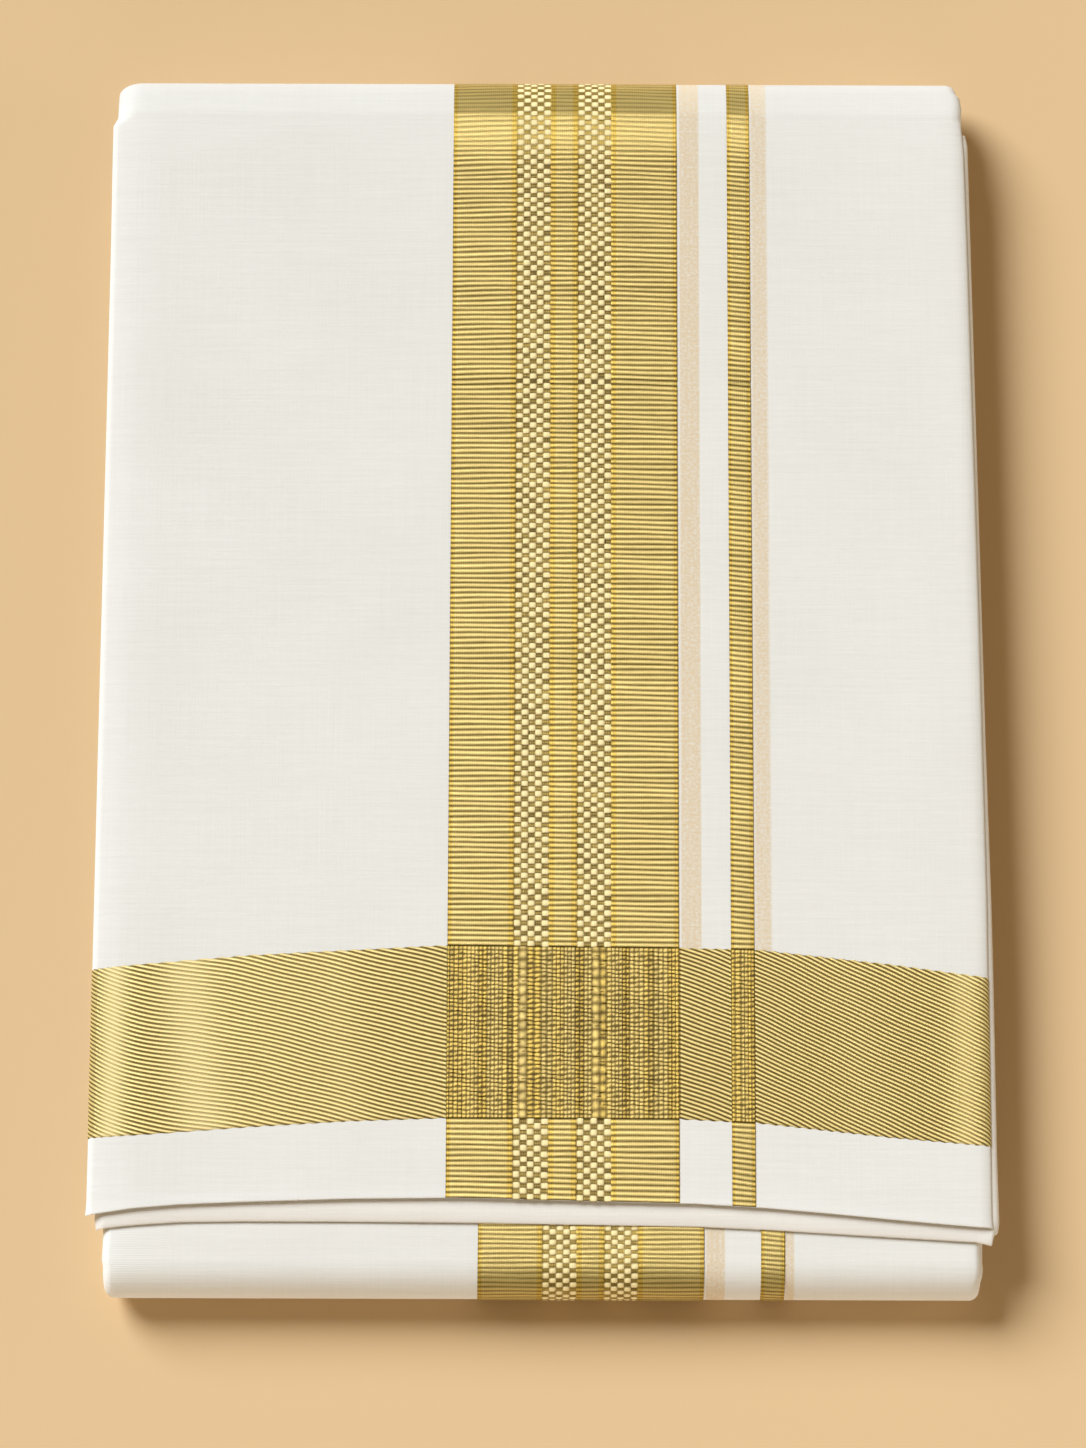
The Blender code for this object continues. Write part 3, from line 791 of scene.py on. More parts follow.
def cotton_sheet(name, ply, stops, grid, bow, map_along, material, depths=(COTTON_DEPTH, WALL)):
    """A ply's closed cotton sheet. Bow(across, along), where there is one, carries its edge forward."""
    thickness = depths[1] - depths[0]
    rows, row_full = shell_rows(stops, thickness)
    across, column_full = shell_columns(ply, rows, grid, thickness)
    along = np.repeat(rows[:, None], across.shape[1], axis=1)
    if bow:
        along = along - bow(across, along)
    half = thickness / 2 * row_full[:, None] * column_full[None, :]
    middle = (depths[0] + depths[1]) / 2
    outer = ply.place(across, along, middle - half)
    inner = ply.place(across, along, middle + half)
    place = np.stack([map_across(ply, across, along), map_along + along], axis=-1)
    return closed_shell(name, outer, inner, place, material)


def drift_share(ply, along):
    """How far along the wrap the stripes have drifted to their places at the near roll."""
    return eased(along / ply.along[-1] * DRIFT_SPEED)


def map_across(ply, across, along):
    """Across as the loom had it, so that one set of stripes serves the drifting underside."""
    if ply.sides is not WRAP_SIDES:
        return across
    stripes = (MAIN, CREAM, NARROW, SECOND_CREAM)
    at_roll = [x for stripe in stripes for x in (stripe.roll_left, stripe.roll_right)]
    at_flap = [x for stripe in stripes for x in (stripe.left, stripe.right)]
    at_roll, at_flap = ([row[0] - DRIFT_LEFT, *row, row[-1] + DRIFT_RIGHT] for row in (at_roll, at_flap))
    return mixed(across, np.interp(across, at_roll, at_flap), drift_share(ply, along))


def woven_sheet(name, ply, grid, height, yarn, rise, material, phase=None):
    """A thin closed sheet of gold with its weave raised on top, seated in the cotton below it.

    The grid is (across, along). Height is from 0 to 1 at each point, yarn its colour channels, and
    phase, where there is one, counts the twill's lines.
    """
    across, along = grid
    rows, columns = across.shape
    height[[0, -1]] = height[:, [0, -1]] = 0.0
    top = ply.place(across, along, COTTON_DEPTH - GOLD_LIFT - rise * height)
    picked = list(range(0, columns - 1, SEAT_STEP)) + [columns - 1]
    deep = np.full((rows, len(picked)), COTTON_DEPTH + GOLD_SEAT)
    seat = ply.place(across[:, picked], along[:, picked], deep)
    top_index = np.arange(rows * columns).reshape(rows, columns)
    seat_index = rows * columns + np.arange(rows * len(picked)).reshape(rows, len(picked))
    faces = [grid_faces(top_index), grid_faces(seat_index)[:, ::-1]]
    for side in ((top_index[:, 0], seat_index[:, 0]), (seat_index[:, -1], top_index[:, -1])):
        faces.append(grid_faces(np.stack(side, axis=1)))
    for row, flip in ((0, False), (-1, True)):
        fans = []
        for number, (first, last) in enumerate(zip(picked, picked[1:])):
            near, far = seat_index[row, number], seat_index[row, number + 1]
            middle = (first + last) // 2
            for column in range(first, last):
                below = near if column < middle else far
                fans.append((top_index[row, column], below, top_index[row, column + 1]))
            fans.append((top_index[row, middle], near, far))
        fans = np.array(fans)
        fans = fans[:, ::-1] if flip else fans
        faces.append(np.column_stack([fans, fans[:, 2]]))
    piece = make_object(name, rows_of(top, seat), np.vstack(faces), material)
    place = np.stack([across, along], axis=-1)
    add_map(piece, rows_of(place, place[:, picked]))
    add_yarn(piece, rows_of(yarn, yarn[:, picked]))
    if phase is not None:
        layer = piece.data.attributes.new(name="phase", type="FLOAT", domain="POINT")
        values = np.concatenate([phase.ravel(), phase[:, picked].ravel()])
        layer.data.foreach_set("value", values.astype(np.float32))
    return settle(piece)


# ---------------------------------------------------------------- weaves


def cell_rows(count, samples):
    """Rows over a count of cells, with one at each end: each row's cell, and its share of the cell."""
    cell = np.concatenate([[0], np.repeat(np.arange(count), len(samples)), [count - 1]])
    return cell, np.concatenate([[0.0], np.tile(samples, count), [1.0]])


def cell_columns(parts):
    """Columns over parts (left, right, cells, samples): each one's distance, part, share and cell."""
    columns = [(parts[0][0], 0, 0.0, 0)]
    for number, (left, right, cells, samples) in enumerate(parts):
        width = (right - left) / cells
        for cell in range(cells):
            columns += [(left + width * (cell + share), number, share, cell) for share in samples]
    return np.array(columns + [(parts[-1][1], len(parts) - 1, 1.0, 0)])


def lane_samples(lane):
    """The shares of its width at which a lane's cells are sampled."""
    if lane.kind != "rib":
        return LANE_KINDS[lane.kind].samples
    width = lane.right - lane.left
    rims = np.array(RIB_RIMS) / width
    middle = np.linspace(rims[-1], 1.0 - rims[-1], max(2, int(round(width / RIB_STEP)) + 1))
    return np.concatenate([rims[:-1], middle, 1.0 - rims[:-1][::-1]])


def reach(stretch, x):
    """Where a stretch starts at one place across, and how long it is there."""
    bottom, top = (float(edge(np.array(x))) for edge in stretch)
    return bottom, top - bottom


def between(stretch, across, place):
    """The alongs at shares of the way through a stretch."""
    start, end = (edge(across) for edge in stretch)
    return mixed(start, end, place)


def border_weave(lanes, ribs, samples, seed, flat_rib=None):
    """A border's grid: columns, each row's rib and share, height, yarn, and its cells' own shifts."""
    columns = cell_columns([(lane.left, lane.right, lane.cells, lane_samples(lane)) for lane in lanes])
    chance = np.random.default_rng(seed)
    rib, share = cell_rows(ribs, samples)
    strength = (1.0 - RIB_SPREAD * chance.random(ribs))[rib]
    lightness = chance.normal(0.0, LIGHT_SPREAD, ribs)
    cells = (ribs, len(lanes), max(lane.cells for lane in MAIN_LANES))
    cell_shift = chance.normal(0.0, CELL_SPREAD, (2, *cells))
    cell_light = chance.normal(0.0, CELL_SPREAD, cells)
    height = np.zeros((len(rib), len(columns)))
    yarn = np.zeros((len(rib), len(columns), 4))
    shift = np.zeros((2, len(rib), len(columns)))
    crest = dome(share) ** RIB_ROUND * strength
    # Painted light and shade: a rib's tone is high on its crest and low in its grooves
    tone = np.sin(np.pi * share) ** RIB_STEEP * strength
    for index, (_, number, across_share, cell) in enumerate(columns):
        number, cell = int(number), int(cell)
        kind = LANE_KINDS[lanes[number].kind]
        light = 0.5 + kind.light + lightness[rib]
        if lanes[number].kind == "check":
            raised = (cell + rib) % 2 == 0
            side = pillow(across_share)
            height[:, index] = side * np.where(raised, pillow(share), LOW_CELL * dome(share))
            # Painted shade: raised cells darken towards their sides, and sunken gold cells keep a low tone
            high_tone = mixed(CELL_SIDE_TONE, 1.0, side) * pillow(share)
            yarn[:, index, 0] = np.where(raised, high_tone, LOW_TONE * tone)
            yarn[:, index, 1] = raised
            yarn[:, index, 2] = kind.saffron * ~raised
            light = light + cell_light[rib, number, cell]
            shift[0, :, index] = cell_shift[0, rib, number, cell] * mixed(CELL_SIDE_SHIFT, 1.0, side)
            swell = np.where(raised, CELL_SWELL, -CELL_SWELL) * (share - 0.5)
            shift[1, :, index] = swell + cell_shift[1, rib, number, cell]
        else:
            height[:, index] = crest * kind.height
            yarn[:, index, 0] = tone
            yarn[:, index, 2] = kind.saffron
        yarn[:, index, 3] = light
    if flat_rib is not None:
        marked = rib == flat_rib
        height[marked] *= FLAT_RIB_HEIGHT
        yarn[marked, :, 3] -= FLAT_RIB_DARK
    yarn[:, :, 3] += chance.normal(0.0, POINT_SPREAD, yarn.shape[:2])
    return columns, rib, share, height, yarn, shift


def wander(ribs, pitch, seed):
    """How far each rib strays from its even place."""
    chance = np.random.default_rng(seed)
    stops = np.arange(0, ribs + WANDER_RIBS, WANDER_RIBS)
    slow = np.interp(np.arange(ribs), stops, chance.normal(0.0, WANDER, len(stops)))
    return pitch * (slow + chance.normal(0.0, STRAY, ribs))


def press(along, height, yarn):
    """Flattens and evens out the ribs beside the far crease and round the far fold, and paints a highlight on
    them just below the crease.
    """
    flat = eased((along - PRESSED_Y) / PRESSED_LENGTH)
    height = height * (1.0 - PRESSED_FLAT * flat)
    evened = PRESSED_TONE * flat * (1.0 - yarn[:, :, 1])
    yarn[:, :, 0] = mixed(yarn[:, :, 0], PRESSED_EVEN, evened)
    # Painted highlight: a lighter strip of ribs just below the far crease
    crest = (along - PRESSED_Y - PRESSED_LENGTH) / PRESSED_LENGTH
    yarn[:, :, 3] += PRESSED_HIGHLIGHT * np.exp(-(crest**2))
    return height


def border_piece(name, ply, weave, stretch, gold, material, drifts=False, samples=CELL_SAMPLES, flat_at=None):
    """A ribbed border over a stretch of a ply, with cotton cells in its check lanes.

    Drifts says whether it drifts to its place at the near roll, and flat_at where its flat rib is.
    """
    pitch = weave.pitch * gold.rib / MM
    stripe = weave.stripe
    bottom, length = reach(stretch, (stripe.left + stripe.right) / 2)
    ribs = max(2, int(round(length / pitch)))
    flat_rib = None if flat_at is None else int((flat_at - bottom) / length * ribs)
    columns, rib, share, height, yarn, shift = border_weave(weave.lanes, ribs, samples, weave.seed, flat_rib)
    counted = rib + share
    stray = np.interp(counted, np.arange(ribs) + 0.5, wander(ribs, pitch, weave.seed + 1))
    ends = within(counted, 0.0, ribs, END_RIBS, END_RIBS)[:, None]
    place = (counted / ribs)[:, None]
    share_across = (columns[:, 0] / weave.lanes[-1].right)[None, :]
    turned = (rib[:, None] % SWAY_RIBS) * SWAY_TURN + columns[None, :, 0] / SWAY_WIDTH
    sway = RIB_SWAY * np.sin(math.tau * turned)
    bend = weave.arch * place * 4.0 * share_across * (1.0 - share_across)
    lean = weave.lean * (share_across - 0.5)
    drifted = drift_share(ply, bottom + place * length) if drifts else 0.0 * place
    left = mixed(stripe.left, stripe.roll_left, drifted)
    right = mixed(stripe.right, stripe.roll_right, drifted)
    across = mixed(left, right, share_across)
    along = between(stretch, across, place) + (stray[:, None] + sway + bend + lean) * ends
    across = across + shift[0] * pitch
    along = along + shift[1] * pitch * (ends > 0.0)
    if flat_at is not None:
        height = press(along, height, yarn)
    gold_share = weave.even * (1.0 - yarn[:, :, 1])
    # Painted shade: the gold is darkened where the near roll turns under
    under_roll_shade = fading(along, bottom + ROLL_UNDER, ROLL_UNDER)
    yarn[:, :, 0] = mixed(yarn[:, :, 0], ROLL_TONE, gold_share * (1.0 - under_roll_shade))
    yarn[:, :, 3] -= gold_share * under_roll_shade
    return woven_sheet(name, ply, (across, along), height, yarn, gold.rise / MM, material)


def band_edge(side):
    """The end band's far or near edge, as a function from across to along."""
    return lambda x: read(END_BAND, side, x)


BAND_STRETCH = (band_edge("near"), band_edge("far"))


def twill_piece(name, ply, columns, gold, seed, material):
    """A stretch of the end band: diagonal gold lines between its two curved edges."""
    pitch = gold.twill / MM
    line_at = np.linspace(TWILL[0].x, TWILL[-1].x, SLOPE_SAMPLES)
    fall = read(TWILL, "fall", line_at)
    carried = np.concatenate([[0.0], np.cumsum((fall[1:] + fall[:-1]) / 2 * np.diff(line_at))])
    _, length = reach(BAND_STRETCH, np.median(columns))
    steps = np.linspace(TWILL_RIM, 1.0 - TWILL_RIM, int(round(length / TWILL_STEP)))
    place = np.concatenate([[0.0], steps, [1.0]])[:, None]
    across = np.repeat(columns[None, :], len(place), axis=0)
    fallen = np.interp(across, line_at, carried)
    along = between(BAND_STRETCH, across, place)
    for edge, inward in zip(BAND_STRETCH, (place, 1.0 - place)):
        wave = np.sin(math.tau * (edge(across) + fallen) / pitch)
        along += PICOT * wave * fading(inward, 0.0, PICOT_REACH)
    sway = sum(high * np.sin(across / wide + along / far) for high, wide, far in TWILL_SWAY)
    phase = (along + fallen) / pitch + sway
    yarn = np.zeros((*phase.shape, 4))
    yarn[:, :, :3] = TWILL_YARN
    yarn[:, :, 3] = 0.5 + np.random.default_rng(seed).normal(0.0, LIGHT_SPREAD, phase.shape)
    # Painted sheen: each row lightens the yarn near its place across, and makes it paler
    for sheen_and_paleness in TWILL_SHEEN_AND_PALENESS:
        leaning = TWILL_DRIFT * (along - BAND_MIDDLE_Y) * (abs(sheen_and_paleness.x) < INNER_SHEEN)
        near = np.exp(-(((across - sheen_and_paleness.x + leaning) / sheen_and_paleness.width) ** 2))
        yarn[:, :, 1] += sheen_and_paleness.pale * near
        yarn[:, :, 3] += sheen_and_paleness.light * near
    rise = TWILL_RISE * gold.rise / MM
    return woven_sheet(name, ply, (across, along), np.ones(phase.shape), yarn, rise, material, phase)


def bead_piece(name, ply, stripes, left, gold, seed, material):
    """A block of small beads in stripes, where a border crosses the end band."""
    parts, start = [], 0.0
    for stripe in stripes:
        count = max(1, int(round((stripe.end - start) / stripe.across)))
        parts.append((start, stripe.end, count, BEAD_SAMPLES))
        start = stripe.end
    columns = cell_columns(parts)
    _, length = reach(BAND_STRETCH, left + start / 2)
    beads = int(round(length / (gold.bead / MM)))
    bead, share = cell_rows(beads, BEAD_SAMPLES)
    height = np.zeros((len(bead), len(columns)))
    yarn = np.zeros((*height.shape, 4))
    chance = np.random.default_rng(seed)
    bead_columns = len(columns) // len(BEAD_SAMPLES) + 2
    row_light = chance.normal(0.0, LIGHT_SPREAD, beads)
    bead_high = 1.0 - BEAD_SPREAD * chance.random((beads, bead_columns))
    column_light = chance.normal(0.0, COLUMN_SPREAD, bead_columns)
    for index, (_, number, across_share, _) in enumerate(columns):
        stripe = stripes[int(number)]
        in_bead = ((bead % 2) + share) / 2 if stripe.rows == 2 else share
        column = (index - 1) // len(BEAD_SAMPLES)
        high_here = bead_high[bead // stripe.rows, column]
        shape = mixed(BEAD_SIDE, 1.0, dome(across_share)) * dome(in_bead) ** BEAD_ROUND
        height[:, index] = shape * mixed(BEAD_LOW, 1.0, high_here)
        # Painted light and shade: a bead is lit on its crown, more where it is taller, and shaded at its
        # sides and in the gaps
        shade = mixed(BEAD_SIDE_TONE, 1.0, np.sin(np.pi * across_share))
        shade = shade * np.sin(np.pi * in_bead) ** (BEAD_STEEP / stripe.rows)
        lit = BEAD_SHADE_LOW + BEAD_SHADE_HIGH * high_here + BEAD_SHADE_COLUMN * column_light[column]
        shade *= BEAD_SHADE[stripe.rows] * lit
        yarn[:, index, 0] = shade - BEAD_GAP_SHADE
        yarn[:, index, 1] = BEAD_PALE * stripe.pale
        yarn[:, index, 2] = mixed(BEAD_SAFFRON, 1.0, stripe.saffron)
        light = BEAD_LIGHT + STRIPE_LIGHT * stripe.light
        yarn[:, index, 3] = light + row_light[bead] + column_light[column]
    yarn[:, :, 3] += chance.normal(0.0, BEAD_LIGHT_SPREAD, (beads, len(columns)))[bead]
    across = np.repeat(left + columns[None, :, 0], len(bead), axis=0)
    place = ((bead + share) / beads)[:, None]
    turns = ((high, across / wide + bead[:, None] * turn) for high, wide, turn in BEAD_RIPPLES)
    ripple = sum(high * np.sin(math.tau * turned) for high, turned in turns)
    ends = within(place, 0.0, 1.0, BEAD_ENDS, BEAD_ENDS)
    along = between(BAND_STRETCH, across, place) + ripple * ends
    return woven_sheet(name, ply, (across, along), height, yarn, gold.rise / MM, material)


# ---------------------------------------------------------------- shader maths


class Signal:
    """A shader socket that takes part in arithmetic; each operation adds its Math node."""

    def __init__(self, recipe, socket):
        """Keeps the recipe that makes its nodes, and the socket."""
        self.recipe = recipe
        self.socket = socket

    def math(self, operation, *values):
        """Adds a Math node that takes these values."""
        return self.recipe.node("ShaderNodeMath", {"operation": operation}, dict(enumerate(values)))

    def __add__(self, other):
        return self.math("ADD", self, other)

    def __sub__(self, other):
        return self.math("SUBTRACT", self, other)

    def __rsub__(self, other):
        return self.math("SUBTRACT", other, self)

    def __mul__(self, other):
        return self.math("MULTIPLY", self, other)

    def __truediv__(self, other):
        return self.math("DIVIDE", self, other)

    def __pow__(self, other):
        return self.math("POWER", self, other)

    __radd__ = __add__
    __rmul__ = __mul__

    def sine(self):
        """Its sine, in radians."""
        return self.math("SINE", self)

    def held(self):
        """Held between 0 and 1."""
        return self.math("MINIMUM", self.math("MAXIMUM", self, 0.0), 1.0)

    def between(self, low, high, soft):
        """1 between two limits, with soft sides."""
        return ((self - low) / soft).held() * ((high - self) / soft).held()


class Recipe:
    """A material, and the one way its nodes are made."""

    def __init__(self, name):
        """Starts a new material with its one shader."""
        self.material = bpy.data.materials.new(name)
        self.material.use_nodes = True
        self.tree = self.material.node_tree
        self.shader = self.tree.nodes["Principled BSDF"]

    def node(self, kind, settings=None, inputs=None, output=0):
        """Adds a node, sets it up, fills its sockets and gives back an output, or a tuple of them."""
        node = self.tree.nodes.new(kind)
        for key, value in (settings or {}).items():
            setattr(node, key, value)
        for key, value in (inputs or {}).items():
            self.feed(node.inputs[key], value)
        if isinstance(output, tuple):
            return tuple(Signal(self, node.outputs[each]) for each in output)
        return Signal(self, node.outputs[output])

    def feed(self, socket, value):
        """Links a signal to a socket, or sets the socket to a plain value."""
        if isinstance(value, Signal):
            self.tree.links.new(value.socket, socket)
        elif hasattr(value, "__len__") and len(socket.default_value) == 4 and len(value) == 3:
            socket.default_value = (*value, 1.0)
        else:
            socket.default_value = value

    def mix(self, share, first, second):
        """A colour between two colours."""
        settings = {"data_type": "RGBA", "blend_type": "MIX"}
        return self.node("ShaderNodeMix", settings, {0: share, 6: first, 7: second}, output=2)

    def noise(self, across, along, scale, detail=2.0, roughness=0.5):
        """Noise from -1 to 1, stretched by giving across and along their own scales."""
        place = self.node("ShaderNodeCombineXYZ", inputs={0: across * scale[0], 1: along * scale[1]})
        inputs = {"Vector": place, "Scale": 1.0, "Detail": detail, "Roughness": roughness}
        return (self.node("ShaderNodeTexNoise", inputs=inputs) - 0.5) * 2.0

    def attribute(self, name, output):
        """One output of a named attribute of the mesh."""
        return self.node("ShaderNodeAttribute", {"attribute_name": name}, output=output)

    def cloth_map(self):
        """Across and along in millimetres."""
        place = self.node("ShaderNodeUVMap", {"uv_map": "Cloth"})
        across, along = self.node("ShaderNodeSeparateXYZ", inputs={0: place}, output=(0, 1))
        return across * MAP_UNIT, along * MAP_UNIT

    def bump(self, height, distance, strength=1.0):
        """A normal raised by height, in metres at full strength."""
        inputs = {"Height": height, "Distance": distance, "Strength": strength}
        return self.node("ShaderNodeBump", inputs=inputs)

    def finish(self, inputs):
        """Links what varies and sets what doesn't on the shader's own sockets."""
        for key, value in inputs.items():
            self.feed(self.shader.inputs[key], value)
        return self.material


# The scales of the noises, in waves per millimetre across and along: of the cotton's thick weft
# threads, long and short, of its warp, of its cloudiness and of the grain of its cream lines
SLUB = (0.035, 1.15)
FINE_SLUB = (0.22, 2.6)
WARP = (1.9, 0.03)
CLOUD = (0.022, 0.022)
GRAIN = (1.1, 1.3)
# Of the gold's strands, its glints, its pale specks, its twill lines and its wide unevenness
STRAND_NOISE = (0.3, 0.9)
GLINT = (1.6, 1.1)
SPECK = (2.6, 2.6)
LINE_NOISE = (0.04, 2.3)
WIDE = (0.03, 0.03)
# The millimetres from strand to strand in ribs and in twill, and from dimple to dimple of the
# checks' cotton across and along
RIB_STRAND = 0.62
TWILL_STRAND = 0.85
DIMPLE_ACROSS = 1.0
DIMPLE_ALONG = 0.77
# The heights of the threads' bumps in metres
COTTON_BUMP = 0.00006
GOLD_BUMP = 0.00004
# How far short of the packet's middle the cream lines begin, how far before the far crease the
# fold's painted shade does, and how soft its ends are
CREAM_LEAD = 100.0
FOLD_SHADE_LEAD = 2.0
FOLD_SHADE_SOFT = 10.0


def cotton_material(name, cloth, tint=(1.0, 1.0, 1.0), striped=True):
    """Fine plain-woven cotton, with slubs, thin places and, where striped, its cream lines and painted shade
    on the far fold.
    """
    recipe = Recipe(name)
    across, along = recipe.cloth_map()
    thread = cloth.thread / MM
    slub = recipe.noise(across, along, SLUB, 3.0, 0.6)
    fine_slub = recipe.noise(across, along, FINE_SLUB)
    warp = recipe.noise(across, along, WARP)
    cloud = recipe.noise(across, along, CLOUD)
    weft_wave = (along * (math.tau / thread)).sine()
    warp_wave = (across * (math.tau / thread)).sine()
    weave = weft_wave * warp_wave
    thin = (0.40 + slub * 0.50 + fine_slub * 0.32 + warp * 0.24 + cloud * 0.34).held()
    white = [a * b for a, b in zip(cloth.white, tint)]
    shade = [a * b for a, b in zip(cloth.shade, tint)]
    colour = recipe.mix(thin * 0.7, white, shade)
    if striped:
        # Painted shade: the far fold's cotton is darkened towards half the thin places' colour
        fold_shade = along.between(CREASE_Y - FOLD_SHADE_LEAD, CREASE_Y + FOLD_LENGTH, FOLD_SHADE_SOFT)
        colour = recipe.mix(fold_shade * FOLD_SHADE, colour, [0.5 * value for value in shade])
        above = ((along + CREAM_LEAD) / 0.5).held()
        first = across.between(CREAM.left, CREAM.right, 0.5)
        second = across.between(SECOND_CREAM.left, SECOND_CREAM.right, 0.9) * 0.9
        grain = recipe.noise(across, along, GRAIN, 1.0)
        grid = 0.84 + weave * 0.2 + fine_slub * 0.35 + warp * 0.3 + grain * 0.9
        lines = (first + second).held() * above * grid
        colour = recipe.mix(lines.held(), colour, cloth.cream)
    height = weave * 0.30 + slub * 0.55 + warp * 0.35 + fine_slub * 0.3
    return recipe.finish({
        "Base Color": colour,
        "Roughness": 0.86 - slub * 0.05,
        "Normal": recipe.bump(height, COTTON_BUMP, 0.8),
        "Sheen Weight": 0.12,
        "Sheen Roughness": 0.5,
        "Specular IOR Level": 0.25,
    })


# How much of the grooves' dark colour, which is painted shade, stays in yellower gold, and of the pale
# cells' in their painted shadow
DEEP_SHARES = (0.6, 0.5, 0.4)
SHADOW_SHARES = (0.24, 0.18, 0.06)


def gold_material(name, gold, rough=0.36, lined=False, bright=1.0):
    """Gold yarn: bright on its crests, dark with painted shade in its grooves, with cotton where the yarn is
    pale.
    """
    recipe = Recipe(name)
    bright_crest = [bright * value for value in gold.crest]
    across, along = recipe.cloth_map()
    yarn = recipe.attribute("yarn", "Color")
    tone, pale, saffron = recipe.node("ShaderNodeSeparateColor", inputs={0: yarn}, output=(0, 1, 2))
    lightness = recipe.attribute("yarn", "Alpha")
    strand = (across * (math.tau / RIB_STRAND) + recipe.noise(across, along, STRAND_NOISE) * 1.4).sine()
    glint = recipe.noise(across, along, GLINT)
    relief = recipe.bump(strand * 0.5 + glint * 0.5, GOLD_BUMP, 0.7)
    if lined:
        phase = recipe.attribute("phase", "Fac")
        line = (phase * math.tau).sine() * 0.5 + 0.5
        # Painted shade: the twill's tone is low along its grooves
        tone = (line * TWILL_STEEP - TWILL_THIN).held() * TWILL_CREST
        tone = tone + (TWILL_CREST - tone) * (pale * 1.6 - 0.5).held()
        strand = (across * (math.tau / TWILL_STRAND) + phase * math.tau).sine() * 0.5
        glint = glint * 0.4
        speck = recipe.noise(across, along, SPECK, 1.0) * pale * 0.8
        lightness = lightness + recipe.noise(across, phase, LINE_NOISE) * 0.12 + speck
        relief = recipe.bump(1.0 - (1.0 - line) ** 2.0 + strand * 0.06, TWILL_BUMP)
    wide = recipe.noise(across, along, WIDE)
    crest = (tone + (lightness - 0.5) * 0.9 + strand * 0.06 + glint * 0.10 + wide * 0.06).held()
    # Painted shade: a low tone mixes the groove's dark colour in
    colour = recipe.mix(crest, gold.groove, bright_crest)
    deep = [share * value for share, value in zip(DEEP_SHARES, gold.groove)]
    yellow = recipe.mix(crest, deep, gold.saffron)
    colour = recipe.mix(saffron.held(), colour, yellow)
    shadow = [share * value for share, value in zip(SHADOW_SHARES, gold.pale)]
    dimple = (across * (math.tau / DIMPLE_ACROSS)).sine() * (along * (math.tau / DIMPLE_ALONG)).sine()
    cotton = recipe.mix((tone * 1.25 + dimple * 0.10).held(), shadow, gold.pale)
    colour = recipe.mix(pale.held(), colour, cotton)
    metal = (1.0 - pale) * (0.50 + 0.14 * glint)
    roughness = rough + pale * 0.4 + glint * 0.06 - crest * 0.05
    return recipe.finish({
        "Base Color": colour,
        "Metallic": metal.held(),
        "Roughness": roughness.held(),
        "Normal": relief,
        "Specular IOR Level": 0.5,
    })


def floor_material(stage):
    """A plain matt floor."""
    inputs = {"Base Color": tuple(stage.floor), "Roughness": 0.95, "Specular IOR Level": 0.15}
    return Recipe("plain_floor").finish(inputs)


def shared_material(name, make, *values, **named):
    """A material made once and shared by the pieces that use it."""
    return bpy.data.materials.get(name) or make(name, *values, **named)


# ---------------------------------------------------------------- pieces


def bow(column, start, fade):
    """How far a ply's free edge bows forward, as a function of across and along that fades out."""
    return lambda across, along: fading(along, start, fade) * read(EDGE_BOW, column, across)


def flap_edge(x):
    """The along of the flap's free edge, a little in from it."""
    return FLAP_EDGE_Y + EDGE_MARGIN - read(EDGE_BOW, "flap", x)


def level(value):
    """The same along all across."""
    return lambda x: value + 0.0 * np.asarray(x, float)


def even_stops(first, last, step):
    """Evenly spaced stops no further apart than a step."""
    return np.linspace(first, last, int(math.ceil((last - first) / step)) + 1)


def stops_through(first, *stretches):
    """Stops from the first on, through stretches (end, step)."""
    stops = [first]
    for last, step in stretches:
        stops += list(even_stops(stops[-1], last, step)[1:])
    return stops


def make_top_flap(cloth):
    """The flap's cotton, from its free edge over the top and round the far fold."""
    ply = flap_ply()
    grid = cloth.grid / MM
    edge = (FLAP_EDGE_Y + FLAP_EDGE_ROWS, EDGE_STEP)
    stops = stops_through(FLAP_EDGE_Y, edge, (CREASE_Y - CREASE_LEAD, grid), (ply.along[-1], FOLD_STEP))
    material = shared_material("white_cotton", cotton_material, cloth)
    bowed = bow("flap", FLAP_EDGE_Y, CREASE_Y - FLAP_EDGE_Y)
    settle(cotton_sheet("top_flap_cotton", ply, stops, grid, bowed, 0.0, material), "top_flap")


def make_under_ply(cloth):
    """The under ply's cotton, which shows as a lip and at the right side."""
    grid = cloth.grid / MM
    edge = (UNDER_PLY_EDGE_Y + LIP_EDGE_ROWS, EDGE_STEP)
    stops = stops_through(UNDER_PLY_EDGE_Y, edge, (UNDER_PLY_END_Y, LIP_GRID * grid))
    material = shared_material("under_ply_cotton", cotton_material, cloth, UNDER_PLY_WARM_LIGHT, striped=False)
    bowed = bow("lip", UNDER_PLY_EDGE_Y, UNDER_PLY_BOW_FADE)
    depths = (0.0, WALL - 0.1)
    piece = cotton_sheet("under_ply_cotton", lip_ply(), stops, grid, bowed, UNDER_PLY_MAP, material, depths)
    settle(piece, "flap_under_ply")


def make_under_wrap(cloth):
    """The wrap's cotton, along the underside and round the near roll."""
    ply = wrap_ply()
    grid = cloth.grid / MM
    roll = UNDERSIDE - ROLL_LEAD
    turned = (roll + ROLL_ROWS, FOLD_STEP)
    stops = stops_through(0.0, (roll, UNDER_GRID * grid), turned, (ply.along[-1], TUCK_GRID * grid))
    material = shared_material("white_cotton", cotton_material, cloth)
    far_end = float(flap_ply().along[-1])
    settle(cotton_sheet("under_wrap_cotton", ply, stops, grid, None, far_end, material), "under_wrap")


